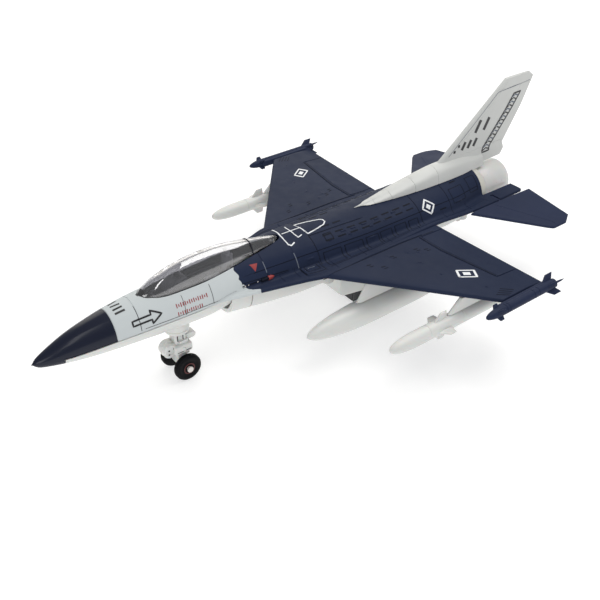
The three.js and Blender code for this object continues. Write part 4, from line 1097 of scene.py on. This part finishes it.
def tank(side, label):
    length = TANK["back"] - TANK["front"]
    profile = []
    for i in range(73):
        t = (1 - math.cos(math.pi * i / 72)) / 2
        nose, tail = min(1, t / 0.38), min(1, (1 - t) / 0.42)
        radius = TANK["radius"] * math.sqrt(1 - (1 - nose) ** 2) * (1 - (1 - tail) ** 2) ** 0.7
        band = 0.1 * (abs(t - 0.36) < 0.004 or abs(t - 0.62) < 0.004)
        profile.append((TANK["front"] + length * t, max(radius - band, 0)))
    piece = turned(f"drop_tank_{label}", profile, (side * TANK["x"], 0, TANK["z"]), "y", 64)
    settle(piece, "white_plastic", nodes=[f"fuel_tank_{label}"], crease=40)


# The ends at the foot, the top, the drop from it, the thickness and how far the front edge leans.
PYLONS = {
    "tank": {"x": TANK["x"], "ends": (100, 136), "top": -0.9, "drop": 6.6, "thick": 1.8, "lean": 4},
    "missile": {"x": STORE["x"], "ends": (117, 140), "top": -0.6, "drop": 4.6, "thick": 1.6, "lean": 5},
}


def hung_pylon(kind, side, label):
    form = PYLONS[kind]
    x, top, drop = side * form["x"], form["top"], form["drop"]
    front, back = form["ends"]
    heights = stops(0, drop, 0.6, (0.15, drop - 0.15))
    piece = blade(f"{kind}_mount_{label}", heights, CHORDS,
                  lambda v: (x, front + form["lean"] * (1 - v / drop), top - v),
                  lambda v: (x, back + 1 - v / drop, top - v), (1, 0, 0), lambda v: form["thick"],
                  tail=0.3, round_end=0.08)
    settle(piece, "white_plastic", nodes=[f"{kind}_pylon_{label}"], crease=40)


FIN_CHORDS = [0, 0.05, 0.12, 0.3, 0.6, 0.8, 0.95, 1]


def fins(centre, y, height, root, tip, sweep, radius, start=math.pi / 4, thick=0.7):
    """Four fins in a cross around a body, the first at a starting angle."""
    pieces = []
    for k in range(4):
        turn = start + k * math.pi / 2
        out, face = (math.cos(turn), 0, math.sin(turn)), (-math.sin(turn), 0, math.cos(turn))

        def edge(v, shift, out=out):
            reach = radius * 0.5 + v
            return (centre[0] + out[0] * reach, y + shift, centre[2] + out[2] * reach)

        full = height + radius * 0.5
        pieces.append(blade("fin", stops(0, full, 0.6, (full - 0.15,)), FIN_CHORDS,
                            lambda v: edge(v, sweep * v / full),
                            lambda v: edge(v, mix(root, sweep + tip, v / full)),
                            face, lambda v: round_tip(v, full, 0.3, thick), tail=0.2))
    return pieces


def missile(side, label):
    length = STORE["back"] - STORE["front"]
    x, y, z, radius = side * STORE["x"], STORE["front"], STORE["z"], STORE["radius"]
    nose = [(y + 11 * (i / 20) ** 2, radius * math.sqrt(1 - (1 - (i / 20) ** 1.7) ** 2)) for i in range(21)]
    profile = [(reach, min(r, radius)) for reach, r in nose]
    for mark in (15.2, 30.5, length - 12):
        profile += ring_groove(y + mark, radius, 0.4, 0.12)
    profile += [(y + length - 0.3, radius * 0.93), (y + length, radius * 0.85), (y + length, radius * 0.5),
                (y + length - 0.8, radius * 0.45), (y + length - 0.8, 0)]
    piece = turned(f"wing_missile_{label}", profile, (x, 0, z), "y", 40)
    add(piece, *fins((x, 0, z), y + 17.5, 2.8, 6.8, 2.6, 3.6, radius, 0),
        *fins((x, 0, z), y + length - 9, 2.8, 8, 4.5, 4, radius))
    settle(piece, "white_plastic", nodes=[f"underwing_missile_{label}"], crease=40)


def tip_missile(side, label):
    length = RAIL["back"] - RAIL["front"]
    x, y, z, radius = side * RAIL["x"], RAIL["front"], RAIL["z"], RAIL["radius"]
    profile = [(y, 0), (y + 0.1, 0.35), (y + 0.5, 0.68), (y + 1.4, 1.02), (y + 2.4, 1.28), (y + 3.6, 1.48),
               (y + 5, radius)]
    for mark in (8, 9.2, 21, length - 9):
        profile += ring_groove(y + mark, radius, 0.45, 0.13)
    profile += [(y + length - 0.25, radius), (y + length, radius - 0.25), (y + length, 0.8),
                (y + length - 0.9, 0.7), (y + length - 0.9, 0)]
    piece = turned(f"tip_store_{label}", profile, (x, 0, z), "y", 36)
    reach = RAIL["x"] - WING["tip"] - GAP
    launcher = block("launcher", (x - side * reach / 2, y + 18, z), (reach, 25, 2.6), 0.5)
    add(piece, launcher, *fins((x, 0, z), y + 3.6, 1.2, 3, 1.6, 1.2, radius),
        *fins((x, 0, z), y + length - 6.2, 2.0, 5.0, 3.4, 4.0, radius))
    settle(piece, "navy_plastic", nodes=[f"wingtip_missile_{label}"], crease=35)


# ---- undercarriage ----
NOSE_WHEEL = {"name": "nose", "body": "nose_wheels", "radius": 4.7, "inner": 3.2, "width": 2.5, "bore": 1.0}
MAIN_WHEEL = {"name": "main", "body": "main_wheels", "radius": 4.75, "inner": 11.4, "width": 3.0, "bore": 1.3}


def wheel(kind, side, label):
    """A tyre with a grooved tread and a dished hub in one, and a thin coloured ring on the hub."""
    node = f"{kind['name']}_wheel_{label}"
    x, y, z = middle(node)
    half, radius, bore = kind["width"] / 2, kind["radius"], kind["bore"]
    rim = [(-half, bore), (-half, radius - 0.9), (-half + 0.12, radius - 0.5), (-half + 0.35, radius - 0.16),
           (-half + 0.7, radius)]
    for centre in (-0.42, 0.0, 0.42):
        rim += ring_groove(centre - 0.1, radius, 0.2, 0.12, 0.04)
    rim += [(half - 0.7, radius), (half - 0.35, radius - 0.16), (half - 0.12, radius - 0.5),
            (half, radius - 0.9), (half - 0.04, radius * 0.66), (half - 0.16, radius * 0.62),
            (half - 0.16, radius * 0.47), (half, radius * 0.43), (half, radius * 0.34), (half - 0.1, bore)]
    placed = [(x + side * reach, r) for reach, r in rim]
    piece = hollow(f"{kind['name']}_tyre_{label}", placed, (0, y, z), "x", 72)
    settle(piece, "wheel_black", kind["body"], [node], 35)
    ring = [(half - 0.1, radius * 0.34), (half + 0.05, radius * 0.35), (half + 0.05, radius * 0.42),
            (half - 0.1, radius * 0.43)]
    placed = [(x + side * reach, r) for reach, r in ring]
    trim = hollow(f"{kind['name']}_wheel_ring_{label}", placed, (0, y, z), "x", 72)
    settle(trim, "wheel_ring", kind["body"], crease=35)


LAMP = {"ahead": 3.7, "z": -15.8, "half": 2.3, "radius": 2.7}


def nose_leg():
    y = LEG["y"]
    hub_y, hub_z = middle("nose_axle")[1:]
    top, thick = LEG["top"], LEG["thick"]
    lamp_y, lamp_z, lamp_half = y - LAMP["ahead"], LAMP["z"], LAMP["half"]
    parts = [post("nose_strut", LEG["disc"], 0, y, top - thick, top, 0.2),
             post("king", LEG["post"], 0, y, top - 0.1, -3.6, 0.2),
             block("strut", (0, y, (top - 16) / 2), (4.0, 4.2, 16 + top), 0.5),
             block("knee", (0, y + 0.3, -15.9), (6.8, 6.4, 3.2), 0.6),
             block("stay", (0, y + 3.4, -13.2), (2.8, 2.8, 2.4), 0.3),
             post("roller", 1.2, y + 4.8, -13.2, -1.4, 1.4, 0.2, "x"),
             post("lamp", LAMP["radius"], lamp_y, lamp_z, -lamp_half, lamp_half, 0.5, "x", 40),
             post("lamp_rib", LAMP["radius"] + 0.15, lamp_y, lamp_z, -0.35, 0.35, 0.12, "x", 40),
             block("lamp_arm", (0, y - 2.0, -15.2), (3.2, 3.0, 2.2), 0.3),
             block("step", (0, y + 0.9, -13.9), (5.0, 3.2, 1.6), 0.3),
             block("link", (0, y + 2.6, -18.2), (2.2, 1.6, 4.2), 0.3),
             post("collar", 2.55, 0, y, -10.9, -10.1, 0.2),
             block("fork", (0, y + 0.4, -19.4), (3.6, 3.6, 6.0), 0.5),
             post("hub", 1.8, hub_y, hub_z, -2.8, 2.8, 0.25, "x")]
    parts += [post("bolt", 0.7, y + 0.3, -15.9, low, low + 0.55, 0.15, "x", 20) for low in (3.2, -3.75)]
    piece = add(*parts)
    cut(piece, post("bore", 1.0, hub_y, hub_z, -5, 5, axis="x"), post("pilot", 1.0, 0, y, -9, -3),
        *[block("strut_groove", (x, y - 0.4, -11.8), (0.8, 1.3, 3.0)) for x in (2.1, -2.1)],
        post("lamp_dish", 1.1, lamp_y, lamp_z, 2.15, 2.6, axis="x", sides=32))
    settle(piece, "white_plastic", "nose_leg", ["nose_gear_leg"], 35)
    # Thin navy sheets on the leg's faces are painted shade: they darken the strut slots, the knee line and
    # the lamp's holes, and a thin ring under the pad paints the shadow of the gap there.
    leg_shade_marks = []
    for side in (-1, 1):
        leg_shade_marks += [block("slot", (side * 2.0, y + dy, -11.9), (0.1, 0.3, 2.4)) for dy in (-1.1, 0.9)]
        leg_shade_marks.append(block("knee_line", (side * 3.4, y + 0.3, -16.6), (0.1, 5.0, 0.22)))
        face = side * lamp_half
        for dy, dz in ((-0.9, 0.7), (-1.0, -0.8), (0.9, 0.9)):
            leg_shade_marks.append(post("hole", 0.3, lamp_y + dy, lamp_z + dz, face - 0.06, face + 0.06, axis="x",
                                 sides=14))
    leg_shade_marks.append(post("pad_gap", LEG["post"] + 1.6, 0, y, top - thick - 0.3, top - thick, sides=48))
    settle(merge("leg_painted_shade", *leg_shade_marks), "navy_print_and_shade", "nose_leg")


# ---- cockpit ----
def cockpit():
    seat_parts = [block("pilot_seat", (0, 66.4, 8.2), (3.6, 1.4, 7.6), 0.35),
                  block("head", (0, 66.9, 12.2), (2.6, 1.5, 1.9), 0.4),
                  block("cushion", (0, 61.6, 3.9), (3.6, 5.6, 1.2), 0.4),
                  block("pan", (0, 62.9, 2.6), (4.0, 8.6, 1.6), 0.2)]
    seat_parts += [block("rail", (x, 67.6, 7.2), (0.5, 1.0, 9.6), 0.12) for x in (1.6, -1.6)]
    piece = add(*seat_parts)
    settle(piece, "seat_fabric", nodes=["ejection_seat"], crease=40)
    outline = [(43.6, 6.6), (43.6, 8.0), (44.6, 8.9), (47.5, 9.9), (50.6, 10.0), (51.2, 9.6), (51.0, 6.6)]
    hood = slab("panel_hood", outline, -2.7, 2.7, 0.3)
    settle(hood, "cockpit_grey", nodes=["instrument_coaming"], crease=40)
    dials = [post("dial", 0.42, x, z, 51.0, 51.25, 0.08, "y", 20)
             for x, z in ((-1.6, 8.6), (0, 8.6), (1.6, 8.6), (-0.9, 7.5), (0.9, 7.5))]
    settle(merge("panel_dials", *dials), "pale_metal")
    sides = [block("console", (s * 3.0, 57, 5.9), (1.1, 14, 0.5), 0.15) for s in (-1, 1)]
    sight = block("sight", (0, 48.6, 10.7), (1.2, 1.6, 1.2), 0.2)
    settle(merge("cockpit_fittings", *sides, sight), "black_plastic")


# ---- printed markings, with painted shade and highlights laid on the same way ----
PRINT = {"lift": 0.05, "sink": 0.06, "over": 0.04}


def ribbon(edge_a, edge_b, surface, columns=4):
    """A thin printed patch between two edges of equal counts, laid on a surface."""
    rows = [[(mix(a[0], b[0], k / columns), mix(a[1], b[1], k / columns)) for k in range(columns + 1)]
            for a, b in zip(edge_a, edge_b)]
    rings = []
    for row in rows:
        over = [tuple(surface(u, v, PRINT["lift"])) for u, v in row]
        under = [tuple(surface(u, v, -PRINT["sink"])) for u, v in row]
        rings.append(over + under[::-1])
    return build("print", [p for ring in rings for p in ring], tube_faces(len(rings), 2 * (columns + 1)))


def dense(path, step=0.6):
    """A path with points added so that no stretch is longer than a step."""
    points = [path[0]]
    for a, b in zip(path, path[1:]):
        count = max(1, math.ceil(math.dist(a, b) / step))
        points += [(mix(a[0], b[0], i / count), mix(a[1], b[1], i / count)) for i in range(1, count + 1)]
    return points


def stroke(path, width, surface, closed=False, step=0.6):
    """A printed line of even width along a path."""
    points = dense(path + path[:1] if closed else path, step)
    left, right = [], []
    last = len(points) - 1
    for i, (a, b) in enumerate(points):
        before = points[i - 1] if i else (points[-2] if closed else points[0])
        after = points[i + 1] if i < last else (points[1] if closed else points[-1])
        da, db = after[0] - before[0], after[1] - before[1]
        size = math.hypot(da, db) or 1
        left.append((a - db / size * width / 2, b + da / size * width / 2))
        right.append((a + db / size * width / 2, b - da / size * width / 2))
    return ribbon(left, right, surface, 1)


def bar(a0, b0, a1, b1, width, surface):
    """A filled printed bar between two points."""
    return stroke([(a0, b0), (a1, b1)], width, surface)


def body_sheet(y0, t0):
    """A surface on the body: millimetres aft of y0 and round the section from t0."""
    here, there = Vector(upper_point(y0, t0 - 0.02)), Vector(upper_point(y0, t0 + 0.02))
    scale = (there - here).length / 0.04
    return lambda a, b, lift: skin(y0 + a, t0 + b / scale, lift)


def plan_sheet(y, x, lift):
    """A surface on the body: y, and x across the top."""
    return skin(y, spot(y, x=x), lift)


def side_sheet(side):
    """A surface on the body's side: y and height."""
    return lambda y, z, lift: skin(y, side * spot(y, z=z), lift)


def diamond_mark(surface, reach, core, line):
    """A generic mark: a filled diamond inside an outlined one."""
    outline = [(-reach, 0), (0, reach), (reach, 0), (0, -reach)]
    filled = ribbon(dense([(-core, 0), (0, core)]), dense([(0, -core), (core, 0)]), surface)
    return [stroke(outline, line, surface, closed=True), filled]


NOSE_STRIPES = [((26.0, -2.1), (28.8, -2.4)), ((26.0, -0.5), (28.9, 0.0)), ((26.0, 1.3), (29.0, 1.4)),
                ((26.0, 2.7), (29.2, 2.9))]


NOSE_LINES = [((31.8, 8.0), (31.8, 1.2), 0.15), ((46.5, 7.2), (46.5, 1.2), 0.12),
              ((56.2, 7.4), (56.2, 1.2), 0.15), ((33, 1.6), (64.5, 1.9), 0.14)]


def nose_prints():
    black = [bar(*a, *b, 0.62, plan_sheet) for a, b in NOSE_STRIPES]
    port = body_sheet(29.6, 0.72)
    arrow = [(0, -0.75), (6.0, -0.75), (6.0, -2.0), (9.3, 0), (6.0, 2.0), (6.0, 0.75), (0, 0.75)]
    black.append(stroke(arrow, 0.55, port, closed=True))
    for side in (-1, 1):
        line = side_sheet(side)
        black += [stroke([start, end], width, line) for start, end, width in NOSE_LINES]
    settle(merge("nose_black_prints", *black), "print_black")
    red = []
    line = side_sheet(1)
    for z, count in ((4.95, 15), (2.5, 12)):
        for i in range(count):
            y, tall = 44.0 + 0.74 * i, (0.62, 0.36, 0.62, 0.5)[i % 4]
            red.append(stroke([(y, z - tall), (y, z + tall)], 0.3, line))
    red.append(ribbon([(71.5, 8.4), (74.3, 8.2)], [(71.9, 7.9), (72.6, 6.4)], line))
    settle(merge("nose_red_prints", *red), "print_red")


GUN = {"z": 3.2, "trough": (66.8, 84.0), "barrel": (73.6, 76.2), "tip": (76.2, 78.8),
       "studs": (67.8, 69.0, 72.4)}


def gun_port():
    """A cannon port in its trough on the port side of the nose."""
    line = side_sheet(1)
    x, y, z = skin(GUN["tip"][0], spot(GUN["tip"][0], z=GUN["z"]), 0)
    first, last = GUN["barrel"]
    profile = [(first, 0), (first, 0.45), (first + 0.3, 0.6), (last, 0.6), (last, 0)]
    barrel = turned("barrel", profile, (x, 0, z), "y", 24)
    trough = [stroke([(GUN["trough"][0], GUN["z"] + dz), (GUN["trough"][1], GUN["z"] + 0.4 * dz)], 0.22, line)
              for dz in (-1.1, 1.1)]
    # The wide dark band along the trough's middle is painted shade in the trough.
    shade = stroke([(GUN["trough"][0], GUN["z"]), (first, GUN["z"])], 0.8, line)
    settle(merge("gun_barrel_trough_and_shade", barrel, *trough, shade), "navy_print_and_shade")
    first, last = GUN["tip"]
    profile = [(first, 0), (first, 0.8), (last - 1.4, 0.75), (last - 0.4, 0.35), (last, 0)]
    tip = turned("gun_tip", profile, (x, 0, z), "y", 24)
    settle(tip, "print_red")
    studs = []
    for y in GUN["studs"]:
        x, y, z = skin(y, spot(y, z=GUN["z"]), 0)
        studs.append(post("stud", 0.22, y, z, x - 0.3, x + 0.16, 0.06, "x", 16))
    settle(merge("gun_studs", *studs), "pale_metal")


# Panel outlines on the upper body: y from, y to, section parameter from and to.
PANELS = [
    (98.2, 105.4, 0.86, 1.66), (107.0, 114.6, 0.86, 1.66), (116.2, 121.6, 0.86, 1.62),
    (122.6, 127.8, 0.86, 1.6), (129.4, 134.6, 0.86, 1.58), (136.0, 140.4, 0.88, 1.5),
    (88.2, 95.6, 1.1, 1.8), (89.6, 94.2, 1.22, 1.66), (101.4, 104.4, 0.42, 0.62),
    (160.2, 167.4, 0.5, 0.9), (171.2, 176.2, 0.4, 0.86),
]
DASHES = [(y, t) for y in (101.0, 106.2, 111.4, 116.6, 121.8, 127.0, 132.2, 137.4) for t in (0.46, 0.60)]
DASHES += [(98.4, 0.22), (103.0, 0.22), (107.8, 0.22), (152.0, 0.92), (163.0, 0.34)]
ROUND_MM = 17.0


def panel_prints():
    dark, pale = [], []
    for side in (-1, 1):
        def lay(y, b, lift, s=side):
            return skin(y, s * b / ROUND_MM, lift)
        for y0, y1, t0, t1 in PANELS:
            a, b = t0 * ROUND_MM, t1 * ROUND_MM
            dark.append(stroke([(y0, a), (y1, a), (y1, b), (y0, b)], 0.26, lay, closed=True))
        for y, t in DASHES:
            b = t * ROUND_MM
            dark.append(stroke([(y, b), (y + 3.3, b)], 0.6, lay))
        for y0, y1, t in ((72, 176, 0.77), (98, 140, 1.72), (96.5, 119, 0.34)):
            dark.append(stroke([(y0, t * ROUND_MM), (y1, t * ROUND_MM)], 0.22, lay, step=1.2))
        # The pale strokes across the grooves at y 76.3 and 87.9 are painted highlights on the grooves' lit
        # edges.
        for y, t0, t1 in ((76.3, 0.56, 0.86), (87.9, 0.62, 1.1)):
            pale.append(stroke([(y, t0 * ROUND_MM), (y, t1 * ROUND_MM)], 0.26, lay))
        for y in RINGS[2:]:
            dark.append(stroke([(y, 0.3 * ROUND_MM), (y, 1.45 * ROUND_MM)], 0.2, lay))
        pale.append(stroke([(90.6, 1.42 * ROUND_MM), (93.0, 1.5 * ROUND_MM)], 0.5, lay))
    settle(merge("panel_dark_prints", *dark), "navy_print_and_shade")
    settle(merge("pale_prints_and_groove_highlights", *pale), "grey_print_and_highlight")
    wing_lines = []
    for side in (-1, 1):
        def flat(y, x, lift, s=side):
            return wing_top(s * x, y, lift)
        for k in range(4):
            start, end = (130.2 + 1.1 * k, 59.2 - 0.5 * k), (133.4 + 1.1 * k, 62.0 - 0.4 * k)
            wing_lines.append(stroke([start, end], 0.26, flat))
        for y, x in ((107.7, 22.2), (111, 25.8), (117.5, 22.9), (127.2, 24.3), (130.2, 26.3)):
            wing_lines += [stroke([(y, x), (y + 1.5, x + 0.3)], 0.4, flat),
                           stroke([(y + 0.3, x + 1.2), (y + 1.8, x + 1.4)], 0.3, flat)]
        wing_lines += [stroke([(92, 18.8), (142, 18.8)], 0.2, flat, step=1.2),
                       stroke([(134.9, 20), (134.9, 30), (138.1, 52)], 0.2, flat, step=1.2)]
    settle(merge("wing_dark_prints", *wing_lines), "navy_print_and_shade")


# Half width of the outline, half width of the filled core, and line width.
BODY_DIAMOND = (2.9, 1.2, 0.6)
WING_DIAMOND = (3.3, 1.4, 0.65)


def top_prints():
    white = [
        stroke([(89.4, -6.5), (88.7, -4.4), (88.4, -2.0), (87.9, 0.6), (87.7, 2.9), (87.8, 5.2), (88.6, 5.9),
                (90.3, 5.3)], 0.42, plan_sheet),
        stroke([(88.9, 0), (96.6, 0.1)], 0.36, plan_sheet),
        stroke([(92.9, -4.0), (92.5, -2.2), (92.4, 0), (92.4, 2.3), (92.7, 4.1), (94.6, 3.6)], 0.36,
               plan_sheet),
        stroke([(96.0, -2.8), (96.2, -0.6), (96.5, 1.6), (96.8, 4.1), (100.4, 3.6), (104.6, 2.7),
                (106.0, 1.6), (106.1, 0.2), (105.2, -0.6), (100.5, -1.9)], 0.42, plan_sheet, closed=True),
    ]
    for side in (-1, 1):
        mark = body_sheet(147.2, side * 0.72)
        white += diamond_mark(lambda a, b, lift, m=mark: m(a, b, lift + PRINT["over"]), *BODY_DIAMOND)
        white.append(stroke([(89.0, side * 11.2), (90.8, side * 11.4)], 0.4, plan_sheet_wide))
    settle(merge("body_white_prints", *white), "print_white")
    wing_marks = []
    for side in (-1, 1):
        def lay(a, b, lift, s=side):
            return wing_top(s * (45.4 + b), 131.2 + a + 0.43 * b, lift)
        wing_marks += diamond_mark(lay, *WING_DIAMOND)
    settle(merge("wing_white_prints", *wing_marks), "print_white")


def plan_sheet_wide(y, x, lift):
    """A surface on the flat edge beside the body: y and x."""
    half, reach = section(y)[0], section(y)[4]
    t = 1.5 + 0.5 * clamp((abs(x) - half - 1.5) / max(reach - half - 2, 0.5))
    return skin(y, math.copysign(t, x), lift)


# Slanted bars, small blocks and a straight band of chevrons, on both sides of the fin.
TALL_BARS = {"z": (22.8, 27.4), "shares": (0.28, 0.43), "wide": 1.5}
SHORT_BARS = {"z": (17.4, 20.4), "shares": (0.26, 0.35, 0.44), "wide": 1.4}
BLOCKS = {"share": 0.12, "heights": (17.7, 19.5), "size": 1.1}
BAND = {"share": 0.72, "z": (13.0, 34.0), "half": 2.0, "line": 0.7, "chevrons": 16, "peak": 0.9}
FIN_LEAN = 0.55


def fin_share(share, z):
    """y at a share of the fin's chord."""
    return mix(along(FIN_FRONT, z), along(FIN_BACK, z), share)


def fin_bars(bars, lay):
    low, high = bars["z"]
    feet = [fin_share(share, low) for share in bars["shares"]]
    return [stroke([(foot, low), (foot + FIN_LEAN * (high - low), high)], bars["wide"], lay) for foot in feet]


def fin_blocks(lay):
    fronts = [(fin_share(BLOCKS["share"], z), z) for z in BLOCKS["heights"]]
    return [stroke([(y, z), (y + BLOCKS["size"], z)], BLOCKS["size"], lay) for y, z in fronts]


def band_outline(lay):
    low, high = BAND["z"]
    front = [(fin_share(BAND["share"], z) - BAND["half"], z) for z in stops(low, high, 1.0)]
    back = [(y + 2 * BAND["half"], z) for y, z in front]
    return stroke(front + back[::-1], BAND["line"], lay, closed=True)


def band_chevrons(lay):
    low, high = BAND["z"]
    marks = []
    for i in range(BAND["chevrons"]):
        z = mix(low, high - BAND["peak"], (i + 0.5) / BAND["chevrons"])
        y = fin_share(BAND["share"], z)
        marks.append(stroke([(y - BAND["half"], z), (y, z + BAND["peak"]), (y + BAND["half"], z)], 0.55, lay))
    return marks


def tail_prints():
    black, grey = [], []
    for side in (-1, 1):
        def lay(y, z, lift, s=side):
            return fin_side(y, z, lift, s)
        black += fin_bars(TALL_BARS, lay) + fin_bars(SHORT_BARS, lay) + fin_blocks(lay)
        black.append(band_outline(lay))
        chevrons = band_chevrons(lay)
        black += chevrons[::2]
        grey += chevrons[1::2]
        edge = [(fin_share(0.09, z), z) for z in (16.5, 24, 30, 36.6)]
        grey.append(stroke(edge + [(fin_share(0.95, 37.4), 37.4)], 0.2, lay))
    settle(merge("tail_black_prints", *black), "print_black")
    settle(merge("tail_grey_prints", *grey), "grey_print_and_highlight")


# ---- carried-over CAD parts ----
KEPT = {
    "cockpit_grey": ["cockpit_tub"],
    "steel": ["canopy_hinge_pin", "nose_gear_screw", "main_axle", "mainspring", "idler_shaft", "barrel_arbor",
              "battery_cover_screw", "button_cell_1", "button_cell_2", "button_cell_3"],
    "pale_metal": ["nose_axle", "battery_contact_front", "battery_contact_rear"],
    "black_plastic": ["motor_case", "motor_cover", "tact_switch", "speaker"],
    "gear_plastic": ["axle_gear", "idler_gear", "spring_barrel"],
    "board_green": ["circuit_board"],
    "red_button": ["sound_button"],
    "lamp_lens": ["nozzle_led"],
}
KEPT["steel"] += [f"body_screw_{place}" for place in BODY_SCREWS]


def dress_kept():
    for material, nodes in KEPT.items():
        for node in nodes:
            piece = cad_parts[node]
            piece.data.materials.clear()
            piece.data.materials.append(MATERIALS[material])
            for polygon in piece.data.polygons:
                polygon.material_index = 0


make_camera()
studio()
canopy()
upper_casting()
lower_shell()
battery_cover()
intake()
tail_fin()
nozzle()
for side, label in ((1, "left"), (-1, "right")):
    stabilator(side, label)
    tank(side, label)
    hung_pylon("tank", side, label)
    hung_pylon("missile", side, label)
    missile(side, label)
    tip_missile(side, label)
    wheel(NOSE_WHEEL, side, label)
    wheel(MAIN_WHEEL, side, label)
nose_leg()
cockpit()
nose_prints()
gun_port()
panel_prints()
top_prints()
tail_prints()
dress_kept()
